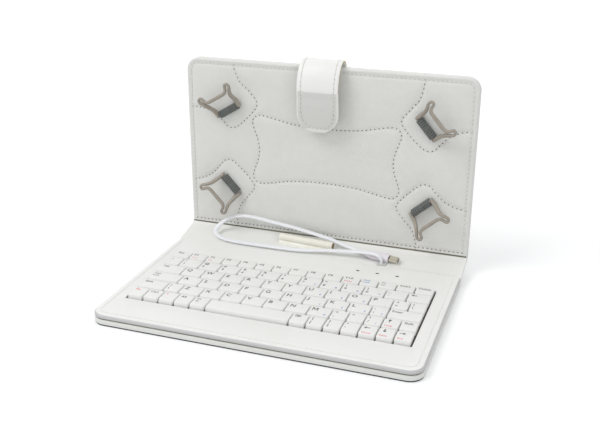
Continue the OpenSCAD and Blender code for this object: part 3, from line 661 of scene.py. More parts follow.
CAP = [  # height, how far the sides, the front and the rear stand in, and the corners' radius
    (8.6, 1.1, 1.7, 1.1, 0.5), (CAP_BOTTOM, 0.9, 0.9, 0.9, 0.5), (CAP_BOTTOM, 0, 0, 0, 0.9),
    (7.0, 0, 0.05, 0, 0.9), (8.9, 0.03, 0.88, 0.08, 0.9), (9.14, 0.09, 0.98, 0.16, 0.95),
    (9.25, 0.2, 1.1, 0.28, 1.0), (CAP_TOP - 0.01, 0.4, 1.3, 0.48, 1.0),
]


def key_area(row, i):
    """The lowest and highest x and y of a key's cap."""
    widths = [w or KEYS_W - sum(ROWS[row]) for w in ROWS[row]]
    x0 = KEYS_X - KEYS_W / 2 + sum(widths[:i])
    rear = -KEYS_REAR - (TOP_ROW_D + (row - 1) * ROW_D if row else 0)
    depth = ROW_D if row else TOP_ROW_D
    g = KEY_GAP / 2
    return x0 + g, x0 + widths[i] - g, rear - depth + g, rear - g


def cap_parts(row, i):
    """A hollow cap: upright walls, a front that leans back, and a softened top edge."""
    x0, x1, y0, y1 = key_area(row, i)
    return loft([level_ring(z, x0 + side, x1 - side, y0 + front, y1 - rear, r, r, 0, 3)
                 for z, side, front, rear, r in CAP])


def build_keys():
    for name, row, first, last in KEY_NODES:
        parts = [cap_parts(row, i) for i in range(first, last + 1)]
        caps = sharpen(add_piece(name + "_caps", *join_parts(parts), base_place, "cap"), 40)
        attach(caps, name)
        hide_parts(name)


# ---- Legends
LEGENDS = [
    [["Esc"], *[[f"F{i}"] for i in range(1, 11)],
     ["Num", "Lock"], ["Prt", "Scr"], ["Insert"], ["Delete"]],
    [list(pair) for pair in (
        "~`", "!1", "@2", "#3", "$4", "%5", "^6", "&7", "*8", "(9", ")0", "_-")] + [["<-"]],
    [["Tab"], *[[c] for c in "QWERTYUIOP"], ["+", "="], ["|", "\\"]],
    [["Caps", "Lock"], *[[c] for c in "ASDFGHJKL"], [":", ";"], ["Enter"]],
    [["Shift"], ["|", "\\"], *[[c] for c in "ZXCVBNM"], ["<", ","], [">", "."], ["?", "/"],
     ["^|"], ["Shift"]],
    [["Fn"], ["Ctrl"], ["+"], ["Alt"], ["Alt", "Gr"], [""], ["menu"], ["{", "["], ["}", "]"],
     ["\"", "'"], ["<-"], ["v|"], ["->"]],
]
SECOND = {  # what a key does together with another one
    (0, 1): "Mute", (0, 2): "Vol", (0, 10): "Wake", (4, 12): "PgUp", (5, 10): "Home",
    (5, 11): "PgDn", (5, 12): "End",
}
NUMBER_PAD = {(row, 7 + k): c for row, pad in enumerate(("789*", "456-", "123+", " 0 ./"), 1)
              for k, c in enumerate(pad) if c != " "}
INKS = {(5, 0): "red_ink", (5, 2): "red_ink", (0, 11): "blue_ink"}
ARROW = [(-0.5, 0), (-0.08, 0.34), (-0.08, 0.09), (0.5, 0.09), (0.5, -0.09), (-0.08, -0.09),
         (-0.08, -0.34)]
ARROWS = {"<-": 0, "^|": -90, "->": 180, "v|": 90}
BOLD = 0.018
M_FORM = [(0.13, 0), (0.13, 0.5), (0.38, 0.12), (0.63, 0.5), (0.63, 0), (0.76, 0), (0.76, 0.73),
          (0.59, 0.73), (0.38, 0.36), (0.17, 0.73), (0, 0.73), (0, 0)]
MENU_BARS = [(0, 0.72, 1.2, 0.82), (0, 0, 1.2, 0.1), (0, 0, 0.1, 0.82), (1.1, 0, 1.2, 0.82),
             (0.25, 0.5, 0.95, 0.62), (0.25, 0.32, 0.95, 0.44), (0.25, 0.14, 0.95, 0.26)]


@cache
def text_parts(text, size):
    """Flat outlines of a short text in millimetres, from its lower left, and its width."""
    if text in ARROWS:
        a = radians(ARROWS[text])
        return [((x * cos(a) - y * sin(a) + 0.5) * size * 1.1,
                 (x * sin(a) + y * cos(a) + 0.35) * size)
                for x, y in ARROW], [tuple(range(7))], size * 1.1
    if text == "M":
        return [(x * size, y * size) for x, y in M_FORM], [tuple(range(12))], size * 0.76
    if text == "menu":
        points = [(x * size, y * size) for x0, y0, x1, y1 in MENU_BARS
                  for x, y in ((x0, y0), (x1, y0), (x1, y1), (x0, y1))]
        faces = [tuple(range(k, k + 4)) for k in range(0, len(points), 4)]
        return points, faces, size * 1.2
    curve = bpy.data.curves.new("legend", "FONT")
    curve.body, curve.size, curve.offset = text, size, 0 if "M" in text else BOLD * size
    curve.resolution_u = 3
    holder = new_object("legend", curve)
    bpy.context.view_layer.update()
    mesh = holder.to_mesh()
    points = [(v.co.x, v.co.y) for v in mesh.vertices]
    faces = [tuple(p.vertices) for p in mesh.polygons]
    holder.to_mesh_clear()
    bpy.data.objects.remove(holder)
    bpy.data.curves.remove(curve)
    return points, faces, max((p[0] for p in points), default=0)


def word_size(words, row, room):
    """The height at which a key's one or two words fit its top."""
    letters = max(len(w) for w in words)
    if len(words) == 2:
        size = 2.3 if letters > 1 else 3.5
    elif words[0] in ARROWS:
        size = 3.6
    elif row == 0:
        size = 2.9 if letters > 3 else 3.4
    else:
        size = {1: 4.8, 2: 3.8}.get(letters, 3.1)
        if row == 5 and room < 14:
            size = min(size, 3.3)
    room -= 0.8 if len(words) == 2 else 0.9
    return round(min([size] + [size * room / max(text_parts(w, size)[2], 0.1) for w in words]), 2)


def legend_parts(row, i, made):
    """Adds a key's legends to the parts made so far, by ink."""
    x0, x1, y0, y1 = key_area(row, i)
    x0, y0, y1 = x0 + 1.5, y0 + 1.9, y1 - 1.3

    def write(text, size, x, y, ink):
        points, faces, _ = text_parts(text, size)
        made.setdefault(ink, []).append(([(px + x, py + y, CAP_TOP + 0.005) for px, py in points],
                                         faces))

    words = LEGENDS[row][i]
    if not words[0]:
        return
    size = word_size(words, row, x1 - x0)
    y = y1 - size * (0.78 if len(words) == 1 else 0.75)
    for word in words:
        write(word, size, x0, y, INKS.get((row, i), "ink"))
        y -= size * (1.22 if len(max(words, key=len)) > 1 else 1.3)
    if (row, i) in SECOND:
        write(SECOND[row, i], 2.2, x0, y0, "red_ink")
    if (row, i) in NUMBER_PAD:
        write(NUMBER_PAD[row, i], 2.6, x1 - 3.3, y0, "blue_ink")


def build_legends():
    for name, row, first, last in KEY_NODES:
        made = {}
        for i in range(first, last + 1):
            legend_parts(row, i, made)
        for ink, parts in made.items():
            marks = add_piece(name + "_" + ink, *join_parts(parts), base_place, ink, smooth=False)
            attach(marks, name)


# ---- Spine and its folds
LOOP_X, LOOP_S, LOOP_N = -9.5, 13.0, 3.0
LOOP_TURN = radians(4.5)
LOOP_HALF = 40.5 / 2
LOOP_SKIN = [  # along the loop and radius, over the outside and back through the bore
    (0.3 - LOOP_HALF, 2.75), (LOOP_HALF - 0.3, 2.75), (LOOP_HALF - 0.08, 2.7), (LOOP_HALF, 2.5),
    (LOOP_HALF, 2.26), (-LOOP_HALF, 2.26), (-LOOP_HALF, 2.5), (0.08 - LOOP_HALF, 2.7),
]
FLANGE = [(-5.6, 0.03), (-5.6, 0.6), (-5.4, 0.8), (-4.3, 0.84), (-3.5, 1.0), (-3.0, 1.4),
          (-2.65, 2.0), (-2.1, 1.0), (-0.8, 0.03)]


def yz(place, *pairs):
    """Places of a leaf's (y, z) pairs, as (y, z) in the world."""
    return [tuple(place(0, *pair))[1:] for pair in pairs]


def section_piece(name, section, key):
    """A section across the folds, in (y, z), drawn out over the case's width with soft ends."""
    cy = sum(p[0] for p in section) / len(section)
    cz = sum(p[1] for p in section) / len(section)
    rings, grain = [], []
    lengths = walked(section)
    soft = [HALF_W, HALF_W - 0.3, HALF_W - 0.7]
    for x in [-e for e in soft] + spread(-100, 100, 50) + soft[::-1]:
        shrink = 0.25 if abs(x) > 102.4 else 0.08 if abs(x) > 102.1 else 0.0
        ring = []
        for (y, z), w in zip(section, lengths):
            wave = 0.06 * noise(Vector((x / 14, w / 5, 0.3)))
            share = shrink / max(dist((y, z), (cy, cz)), 0.01)
            ring.append((x, y - (y - cy) * share, z - (z - cz) * share + wave))
            grain.append((x, w, 0))
        rings.append(ring)
    return sharpen(add_piece(name, *loft(rings), world_place, key, grain=grain), 50)


def build_folds():
    middle, low = SPINE_W / 2, -SPINE_T
    front = [(FOLD_Y, BASE_H)]
    front += yz(spine_place, (0.6, -0.03), (1.2, -0.05), (2, -0.04), (3, 0), (5, 0.02), (8, 0.02),
                (middle, 0.02), (middle, low), (8, low), (5, low), (3, low), (2, low), (1.2, low),
                (0.8, low))
    front += [(FOLD_Y + 1.0, 2.2), (FOLD_Y + 0.95, 1.0), (FOLD_Y + 0.7, 0.4), (FOLD_Y, 0.3)]
    rear = yz(spine_place, (middle, 0.02), (14, 0.02), (16.5, 0.03), (18.4, 0.1), (19.8, 0.3),
              (20.8, 0.62), (21.6, 1.1))
    rear += yz(panel_place, (1.3, 0.15), (1.5, -0.6), (0.8, -2), (FOLD_GAP, -6.6),
               (FOLD_GAP, -PANEL_T))
    start, end = yz(spine_place, (21.8, low))[0], rear[-1]
    rear += [(start[0] + (end[0] - start[0]) * sin(a), end[1] - (end[1] - start[1]) * cos(a))
             for a in spread(pi / 2, 0, 8)[1:-1]]
    rear += yz(spine_place, (21.8, low), (20, low), (17, low), (14, low), (middle, low))
    for name, section, a, b, ends in (
            ("lining_front", front, "lower_leaf", "spine",
             [(FOLD_Y, BASE_H), *yz(spine_place, (2.6, 0))]),
            ("lining_rear", rear, "spine", "upper_leaf",
             yz(spine_place, (19.6, 0)) + yz(panel_place, (FOLD_GAP, -0.4)))):
        skin = section_piece(name, section[::-1], "lining")
        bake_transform(skin)
    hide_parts("base_fold", "spine_lining")
    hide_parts("panel_fold", "spine_cover")
    # A dark strip at the upper leaf's foot: painted shadow in the gap where the lining runs under
    # it
    ring = yz(panel_place, (2.6, -0.9), (1.9, 0.14), (FOLD_GAP, 0.1), (FOLD_GAP, -0.9))
    crease = add_piece("foot_crease", *loft([[(x, y, z) for y, z in ring]
                                             for x in (-102.1, 102.1)]), world_place, "crease")
    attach(crease, "upper_leaf")


def loop_place(x, y, z):
    """The stylus loop's own frame: x along it, y across the spine."""
    return spine_place(LOOP_X + x * cos(LOOP_TURN) + y * sin(LOOP_TURN),
                       LOOP_S - x * sin(LOOP_TURN) + y * cos(LOOP_TURN), z)


def build_stylus_loop():
    """A strip of leather rolled to a tube, and sewn down along one flange."""
    rings = [[(x, r * cos(a), LOOP_N + r * sin(a)) for a in turn(28)] for x, r in LOOP_SKIN]
    points, faces = loft(rings, cap_start=False, cap_end=False)
    n = len(rings[0])
    last = len(points) - n
    faces += [(last + k, last + (k + 1) % n, (k + 1) % n, k) for k in range(n)]
    loop = add_piece("stylus_tube", points, [f[::-1] for f in faces], loop_place, "loop",
                     "loop_inside")
    second_finish(loop, lambda f: f.index // n in (3, 4, 5))
    flange = add_piece("stylus_flange", *loft(
        [[(x, y, z) for y, z in FLANGE[::-1]] for x in (-LOOP_HALF, LOOP_HALF)]),
        loop_place, "loop")
    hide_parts("stylus_loop")
    row = [(x, -4.6, 0.82) for x in (1.5 - LOOP_HALF, LOOP_HALF - 1.5)]
    sewn = stitches("loop_stitch", [row], loop_place, "pale_hole", width=0.34, hole=0.32, pitch=2.6)
    sewn += stitches("fold_stitch", [[(46, 1.6, 0.03), (100, 1.6, 0.03)]], spine_place,
                     "pale_hole", width=0.3, hole=0.3, lift=0.6)
    for piece in [loop, flange] + sewn:
        sharpen(piece, 45)
        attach(piece, "spine")


# ---- Upper leaf
SEAM_IN = 3.4
POCKET = [(HALF_W - HOOK_X - SEAM_IN, -0.2), (22, -1.5), (14.5, -5), (8, -11.1), (4.5, -14.9),
          (0.7, -15.8), (-3, -14.5), (-9, -9.5), (-15.5, -2.6), (-18, 1.5), (-17.6, 5),
          (-12.4, 11.5), (-7, 17.5), (-4.2, 24.5), (-3, LEAF_D / 2 - HOOK_H - SEAM_IN)]
POCKET_SHIFT = {(-1, 1): (-2, 2.5), (1, 1): (1, -0.5), (-1, -1): (1, -1.8), (1, -1): (0, 0.5)}
FIELD = [(48.4, 0), (49.4, 7), (51.6, 13.3), (53.3, 18.9), (51.9, 23.1), (47.3, 25.1),
         (37.5, 23.5), (26.6, 21.2), (13.3, 19.9), (0, 19.6)]
GRID = 0.85
GRID_EDGE = 6.2
NEAR_EDGE = [0, 0.12, 0.35, 0.7, 1.15, 1.7, 2.3, 2.8, 3.1, 3.4, 3.7, 4.0, 4.5, 5.2]


def seam_lines():
    """The seams of the padded panel as lines of (x, h): the border, four pockets and the field."""
    border = rounded(-HALF_W, HALF_W, FOLD_GAP, LEAF_D, 0.5, CORNER_R, SEAM_IN)
    lines = [border[9:] + border[:9], border[8:10]]
    half, last = LEAF_D / 2, len(POCKET) - 1
    for (sx, sy), (ox, oy) in POCKET_SHIFT.items():
        moved = []
        for k, (x, y) in enumerate(POCKET):
            share = min(1, k / 3, (last - k) / 3)
            moved.append((sx * (HOOK_X + x + ox * share), half + sy * (HOOK_H + y + oy * share)))
        lines.append(smooth_line(moved, 5))
    ahead, back = FIELD[:-1], FIELD[:0:-1]
    corners = ahead + [(-x, h) for x, h in back] + [(-x, -h) for x, h in ahead]
    corners += [(x, -h) for x, h in back]
    field = [(x, half + h) for x, h in smooth_line(corners, 5, closed=True)]
    return lines + [field + field[:1]]


class Padding:
    """How far the padded face stands off the leaf's face."""

    def __init__(self):
        self.lines = seam_lines()
        dots = [p for line in self.lines for p, _ in even_line(line, 0.5)]
        self.tree = KDTree(len(dots))
        for i, (x, h) in enumerate(dots):
            self.tree.insert((x, h, 0), i)
        self.tree.balance()

    def edge(self, x, h):
        """Distance to the leaf's outline."""
        dx, dh = HALF_W - abs(x), LEAF_D - h
        if dx < CORNER_R and dh < CORNER_R:
            return max(0.0, CORNER_R - dist((dx, dh), (CORNER_R, CORNER_R)))
        return max(0.0, min(dx, dh, h - FOLD_GAP))

    def height(self, x, h):
        """A pillow between the seams, with a groove at each and a round edge."""
        d = self.tree.find((x, h, 0))[2]
        n = 0.55 * (1 - exp(-(d / 7) ** 2)) - 0.5 * exp(-(d / 1.35) ** 2) - 0.15
        n += 0.05 * noise(Vector((x / 11, h / 11, 0.5)))
        e = self.edge(x, h)
        r = 2.2 if h - FOLD_GAP <= e + 1e-6 else 1.5
        if e < r:
            n -= r - sqrt(max(r * r - (r - e) ** 2, 0))
        return n


def grid_stops(low, high):
    """Places of the panel's points from edge to edge, closer together along both."""
    count = round((high - low - 2 * GRID_EDGE) / GRID)
    return ([low + e for e in NEAR_EDGE] + spread(low + GRID_EDGE, high - GRID_EDGE, count)
            + [high - e for e in NEAR_EDGE[::-1]])


def build_panel():
    pad = Padding()
    xs, hs = grid_stops(-HALF_W, HALF_W), grid_stops(FOLD_GAP, LEAF_D)
    rows = []
    for h in hs:
        dh = max(0.0, h - (LEAF_D - CORNER_R))
        reach = HALF_W - CORNER_R + sqrt(max(CORNER_R ** 2 - dh ** 2, 0))
        rows.append([(x / HALF_W * reach, h) for x in xs])
    points, faces = loft([[(x, h, pad.height(x, h)) for x, h in row] for row in rows],
                         False, False, False)
    # The walls of the padding, down to the board
    w, last = len(xs), (len(hs) - 1) * len(xs)
    rim = list(range(w)) + list(range(2 * w - 1, last + w, w))
    rim += list(range(last + w - 2, last - 1, -1)) + list(range(last - w, 0, -w))
    for depth in (-2.6, -PAD_T):
        below = list(range(len(points), len(points) + len(rim)))
        points += [(points[k][0], points[k][1], depth) for k in rim]
        for k in range(len(rim)):
            m = (k + 1) % len(rim)
            faces.append((below[k], below[m], rim[m], rim[k]))
        rim = below
    skin = add_piece("tablet_panel_skin", points, faces, panel_place, "panel_leather")
    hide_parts("tablet_panel")
    lines = [[(x, h, pad.height(x, h)) for (x, h), _ in even_line(line, chosen_size("stitch"))]
             for line in pad.lines]
    sewn = stitches("border_stitch", lines[:1], panel_place, "pale_hole", height=0.07, hole=0.6)
    sewn += stitches("panel_stitch", lines[1:], panel_place, "hole", height=0.07, hole=0.95)
    outline = (-HALF_W, HALF_W, FOLD_GAP, LEAF_D, 0.4, CORNER_R)
    back = add_piece("back_cover_skin", *slab(*outline, [
        (1.2, -7.3), (0.5, -7.18), (0.12, -6.8), (0, -6.3), (0, -4.35), (0.2, -3.95),
        (0.7, -3.82)], 9), panel_place, "edge_leather")
    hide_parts("back_cover")
    # A dark strip in the groove between the panel and the back cover: painted shade
    seam = add_piece("panel_edge_seam", *slab(*outline, [(0.55, -4.1), (0.55, -3.4)], 9, False),
                     panel_place, "crease")
    for piece in [skin, back, seam] + sewn:
        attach(piece, "upper_leaf")


# ---- Corner hooks
HOOKS = [("top_left", -1, 1, 121), ("top_right", 1, 1, 41), ("bottom_left", -1, -1, 223),
         ("bottom_right", 1, -1, 311)]
BAR_N, BAR_R = 2.65, 1.3
BAND_R, BAND_HALF, BAND_STEPS, RIB_PITCH = 2.65, 7.5, 68, 1.5
HALF_HOOK = [  # across, outward, lowest and highest height, and width
    (9.0, -1.5, 1.3, 4.0, 2.3), (9.0, 0, 0.9, 4.9, 2.8), (9.2, 4, 1.6, 6.2, 2.9),
    (9.5, 6.4, 3.7, 8.2, 2.8), (9.9, 8.6, 5.7, 10.3, 2.6), (11.2, 11.3, 8.0, 11.4, 2.3),
    (12.5, 13.2, 8.8, 11.5, 2.1), (13.0, 14.5, 9.0, 11.5, 2.0), (12.7, 15.8, 9.1, 11.5, 2.0),
    (11.7, 16.5, 9.1, 11.5, 2.0), (10.6, 16.2, 9.1, 11.5, 2.0), (10.0, 15.2, 9.1, 11.5, 2.0),
    (9.4, 13.6, 9.1, 11.5, 2.1), (8.3, 12.1, 9.1, 11.5, 2.3), (6.4, 11.4, 9.1, 11.5, 2.5),
    (3.0, 11.35, 9.1, 11.5, 2.6), (0, 11.35, 9.1, 11.5, 2.6),
]


def hook_place(sx, sy, heading):
    """A hook's own frame: t across it, d outward from its bar."""
    a = radians(heading)

    def place(t, d, n):
        return panel_place(sx * HOOK_X + t * sin(a) + d * cos(a),
                           LEAF_D / 2 + sy * HOOK_H - t * cos(a) + d * sin(a), n)
    return place


def hook_parts():
    """The hook's bent arms with their ears, and its bar."""
    line = smooth_line(HALF_HOOK + [(-t, *rest) for t, *rest in HALF_HOOK[-2::-1]], 5)
    rings = []
    for (t, d, low, high, w), a, b in zip(line, line[:1] + line, line[1:] + line[-1:]):
        along = Vector((b[0] - a[0], b[1] - a[1])).normalized()
        rings.append([(t - along.y * u * w / 2, d + along.x * u * w / 2,
                       (low + high) / 2 + v * (high - low) / 2)
                      for u, v in superellipse(16, 2.1)[::-1]])
    rod = [[(t, BAR_R * cos(a), BAR_N + BAR_R * sin(a)) for a in turn(16)]
           for t in spread(-8.9, 8.9, 12)]
    return join_parts([loft(rings), loft(rod)])


def band_rings():
    """The webbing's section, over the bar and down to the leaf, swelling at each rib."""
    foot = [(2.45, 0.02), (2.6, 0.7), (BAND_R, 1.6)]
    profile = [(-d, n) for d, n in foot]
    profile += [(BAND_R * cos(a), BAR_N + BAND_R * sin(a)) for a in spread(pi, 0, 16)]
    profile += foot[::-1]
    rings = []
    for t in spread(-BAND_HALF, BAND_HALF, BAND_STEPS):
        swell = 0.16 * cos(2 * pi * t / RIB_PITCH) - (0.22 if abs(t) == BAND_HALF else 0.1)
        grow = 1 + swell / BAND_R
        rings.append([(t, d * grow, BAR_N + (n - BAR_N) * (grow if n > BAR_N else 1))
                      for d, n in profile])
    return rings


def build_hooks():
    shape, ribs = hook_parts(), band_rings()

    def on_rib(face):
        ring = min(face.vertices) // len(ribs[0]) + 0.5
        t = -BAND_HALF + 2 * BAND_HALF * ring / BAND_STEPS
        return cos(2 * pi * t / RIB_PITCH) > 0.1

    for name, *where in HOOKS:
        place = hook_place(*where)
        hook = sharpen(add_piece("hook_rod_" + name, *shape, place, "hook"), 60)
        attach(hook, "hook_" + name)
        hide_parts("hook_" + name)
        band = add_piece("elastic_band_" + name, *loft(ribs), place, "elastic", "rib")
        # The ribs' faces take the lighter finish: painted highlight on the raised ribs
        second_finish(band, on_rib)
        place(0, 0, 0.1) * MM
        place(0, 0, 2.4) * MM
        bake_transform(band)
        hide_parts("elastic_" + name)


# ---- Closing strap
STRAP_X, STRAP_W, STRAP_T = -2.5, 29.0, 2.2
TAB_T, TAB_R, TAB_POWER = 3.0, 13.6, 2.15
PEAK, PEAK_N, STRAP_FRONT = 128.4, -2.5, 18.9
STRAP_MID, STRAP_FOLD_H, STRAP_OFF, STRAP_SEWN = -8.4, 123.8, 10.0, 25
CREASE, TAB_END = (109.5, 10.0), (81.5, 7.5)
RIM_W, STITCH_IN = 3.0, 3.0
STRAP_LINKS = [  # name, the two bodies, start and end of the bend in (h, n), nodes and finishes
    ("strap_back", "upper_leaf", "strap_top", (122.4, -8.4), (125.8, -8.0), ("strap_root",),
     ("smooth_leather", "raw_edge")),
    ("strap_bow", "strap_top", "strap_band", (128.4, -2.0), (114.5, 9.5),
     ("strap_top", "strap_band"), ("smooth_leather", "raw_edge")),
    ("strap_end", "strap_band", "strap_tab", (103.2, 9.4), (99.2, 9.1), ("strap_tab",),
     ("tab_leather", "rim_leather")),
]


class StrapLine:
    """The strap's middle line across the folds, (h, n) by length from its sewn end."""

    def __init__(self):
        back = [(STRAP_FOLD_H + (PEAK - STRAP_FOLD_H) * sin(a),
                 PEAK_N - (PEAK_N - STRAP_MID) * cos(a)) for a in spread(0, pi / 2, 9)[:-1]]
        front = [(PEAK - STRAP_FRONT * (1 - cos(a)), PEAK_N + (STRAP_OFF - PEAK_N) * sin(a))
                 for a in spread(0, pi / 2, 18)[:-1]]
        self.points = [(STRAP_FOLD_H - STRAP_SEWN, STRAP_MID), *back, *front, CREASE, TAB_END]
        self.at = walked(self.points)
        self.length = self.at[-1]
        self.peak = self.at[len(back) + 1]
        self.crease = self.at[-2]

    def point(self, length):
        """(h, n) at a length along the line."""
        v = min(max(length, 0.0), self.length)
        i = max(k for k in range(len(self.at) - 1) if self.at[k] <= v + 1e-9)
        t = (v - self.at[i]) / (self.at[i + 1] - self.at[i])
        return Vector(self.points[i]).lerp(Vector(self.points[i + 1]), t)

    def place(self, x, length, off):
        """A place off the strap's middle line, on the side away from the leaf."""
        d = (self.point(length + 1.2) - self.point(length - 1.2)).normalized()
        p = self.point(length) - Vector((d.y, -d.x)) * off
        return panel_place(STRAP_X + x, p.x, p.y)

    def half_size(self, length):
        """Half the strap's width and half its thickness."""
        left = self.length - length
        half = STRAP_W / 2
        if left < TAB_R:
            half *= max(1 - ((TAB_R - left) / TAB_R) ** TAB_POWER, 0.0) ** (1 / TAB_POWER)
        stiff = min(max((length - self.crease - 5) / 4, 0), 1)
        thick = (STRAP_T + (TAB_T - STRAP_T) * stiff) / 2
        thick -= 0.2 * exp(-((length - self.crease) / 0.5) ** 2)
        if left < 0.8:
            thick *= sqrt(max(1 - ((0.8 - left) / 0.8) ** 2, 0.04))
        return half, thick


def build_strap():
    line = StrapLine()
    tab_start = line.length - TAB_R
    cuts = [0.0, line.peak, line.crease, line.length]
    for (name, a, b, start, end, nodes, finishes), low, high in zip(STRAP_LINKS, cuts, cuts[1:]):
        tab = high == line.length
        stops = spread(low, high, round(high - low))
        if tab:
            stops = [s for s in stops if s < line.length - 1.5]
            stops += [line.length - e for e in (1.4, 1.0, 0.7, 0.45, 0.25, 0.1, 0.02)]
        sizes = [(at, *line.half_size(at)) for at in stops]
        rings = []
        for at, half, thick in sizes:
            bump = 0.05 * noise(Vector((at / 6, 2.2, 0)))
            r = min(thick * 0.85, 0.9)
            rings.append([(x, at, z + bump) for x, z in
                          rounded(-half, half, -thick, thick, r, r, 0, 4)[::-1]])
        skin = add_piece(name, *loft(rings, True, low == 0, tab), line.place, *finishes)

        def on_rim(face):
            at = stops[min(min(face.vertices) // len(rings[0]), len(stops) - 1)]
            half, _ = line.half_size(min(at + RIM_W, line.length))
            return (at > line.length - RIM_W
                    or abs(face.center.x / MM - STRAP_X) > half - RIM_W * 0.6)

        second_finish(skin, on_rim if tab else lambda face: abs(face.normal.x) > 0.9)
        rows = [[(side * (half - STITCH_IN), at, thick + 0.02) for at, half, thick in sizes
                 if at < tab_start + 0.5] for side in (-1, 1)]
        if tab:
            thick = line.half_size(line.length - 6)[1] + 0.02
            reach, middle = TAB_R - STITCH_IN, STRAP_W / 2 - TAB_R
            rows.append([((middle if cos(a) > 0 else -middle) + reach * cos(a),
                          tab_start + reach * sin(a), thick) for a in spread(0, pi, 12)])
        pieces = [skin]
        for face, side in ((1, "_front"), (-1, "_rear")):
            def face_place(x, at, off, face=face):
                return line.place(x, at, off * face)
            pieces += stitches(name + side, rows, face_place, "hole")
        for piece in pieces:
            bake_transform(piece)
        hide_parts(*nodes)


# ---- Kickstand
STAND_SEAM_IN = 3
STAND_N = 9.9  # its outer side, behind the upper leaf's inner face


def build_kickstand():
    top, low, w = 80.0, 4.0, 30.0
    profile = [(1.0, -STAND_N), (0.4, -9.8), (0.08, -9.45), (0, -9.0), (0, -8.4), (0.08, -8.0),
               (0.4, -7.6), (1.0, -7.5)]
    leg = add_piece("kickstand_skin", *slab(-w, w, low, top, 12, 0.6, profile, 9), panel_place,
                    "edge_leather")
    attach(leg, "kickstand")
    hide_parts("kickstand")
    hem = add_piece("kickstand_hem", *slab(
        -w, w, top + 0.2, top + 10.2, 0.4, 1.5,
        [(0.8, -STAND_N), (0.25, -9.75), (0, -9.3), (0, -7.32)], 5), panel_place, "edge_leather")
    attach(hem, "upper_leaf")
    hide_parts("kickstand_fold")
    edge = rounded(-w, w, low, top + 6, 12, 0.5, STAND_SEAM_IN)[:18]
    seam_x, seam_top = w - STAND_SEAM_IN, top - STAND_SEAM_IN
    edge = [(-seam_x, seam_top), *edge, (seam_x, seam_top)]
    for name, line, body in (
            ("kickstand_stitch", edge, "kickstand"),
            ("hem_stitch", [(-w + 2, top + 8.4), (w - 2, top + 8.4)], "upper_leaf")):
        for piece in stitches(name, [[(x, h, STAND_N) for x, h in line]], behind_place,
                              "pale_hole"):
            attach(piece, body)
    ring = [(1 - w, -10.1), (w - 1, -10.1), (w - 1, -9.82), (1 - w, -9.82)]
    strip = add_piece("kickstand_hinge", *loft([[(x, h, n) for x, n in ring]
                                                for h in spread(top - 3.6, top + 4, 12)]),
                      panel_place, "edge_leather", smooth=False)
    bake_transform(strip)


# ---- Inner pieces that stay as they are
INNER = {
    "base_board": "board", "catch_plate": "steel", "back_plate": "steel", "circuit_film": "film",
    "dome_sheet": "film", "key_plate": "hollow", "controller_board": "circuit",
    "status_lights": "lamp_lens", "spine_board": "board", "back_board": "board",
    "strap_magnet": "steel",
}


def finish_inner():
    for name, key in INNER.items():
        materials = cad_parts[name].data.materials
        materials.clear()
        materials.append(finish(key))


# ---- Stage
CAM_PLACE = Vector((0.17108, -0.45999, 0.25579))
CAM_YAW, CAM_PITCH, CAM_ROLL, CAM_LENS = (
    radians(19.1308), radians(22.0405), radians(0.18265), 51.884)


def build_camera():
    right = Vector((cos(CAM_YAW), sin(CAM_YAW), 0))
    ahead = Vector((-sin(CAM_YAW) * cos(CAM_PITCH), cos(CAM_YAW) * cos(CAM_PITCH), -sin(CAM_PITCH)))
    up = right.cross(ahead)
    turned = right * cos(CAM_ROLL) + up * sin(CAM_ROLL), up * cos(CAM_ROLL) - right * sin(CAM_ROLL)
    camera = bpy.data.cameras.new("camera")
    camera.lens, camera.sensor_width, camera.sensor_fit = CAM_LENS, 36.0, "HORIZONTAL"
    camera.clip_start = 0.01
    eye = new_object("camera", camera)
    eye.matrix_world = (Matrix.Translation(CAM_PLACE)
                        @ Matrix((*turned, -ahead)).transposed().to_4x4())
    bpy.context.scene.camera = eye


def build_lamps(light):
    for name, place, aim, size, power in (
            ("key_lamp", (-0.9, -0.7, 1.5), (0, 0, 0), 1.1, light.key),
            ("fill_lamp", (1.1, -0.9, 1.0), (0, 0, 0.03), 1.4, light.fill),
            ("rear_lamp", (0.2, 1.2, 1.3), (0, 0.1, 0.05), 1.2, light.rear)):
        lamp = bpy.data.lights.new(name, "AREA")
        lamp.shape, lamp.size, lamp.energy = "DISK", size, power
        lamp.color = (1.0, 0.99, 0.975)
        obj = new_object(name, lamp)
        obj.location = place
        obj.rotation_euler = (Vector(aim) - Vector(place)).to_track_quat("-Z", "Y").to_euler()


def build_surroundings(light):
    """Soft light from all round, which the camera and reflections see as white."""
    world = bpy.data.worlds.new("studio")
    world.use_nodes = True
    bpy.context.scene.world = world
    tree = world.node_tree
    tree.nodes.clear()
    path = node(tree, "LightPath", {}).outputs
    seen = maths(tree, "MAXIMUM", path["Is Camera Ray"], path["Is Glossy Ray"])
    seen = maths(tree, "MAXIMUM", seen, path["Is Transmission Ray"])
    soft = node(tree, "Background", {"Color": (0.96, 0.98, 1.0, 1), "Strength": light.sky})
    white = node(tree, "Background", {"Color": (1, 1, 1, 1), "Strength": 1.0})
    mix = node(tree, "MixShader", {0: seen, 1: soft, 2: white})
    node(tree, "OutputWorld", {"Surface": mix})


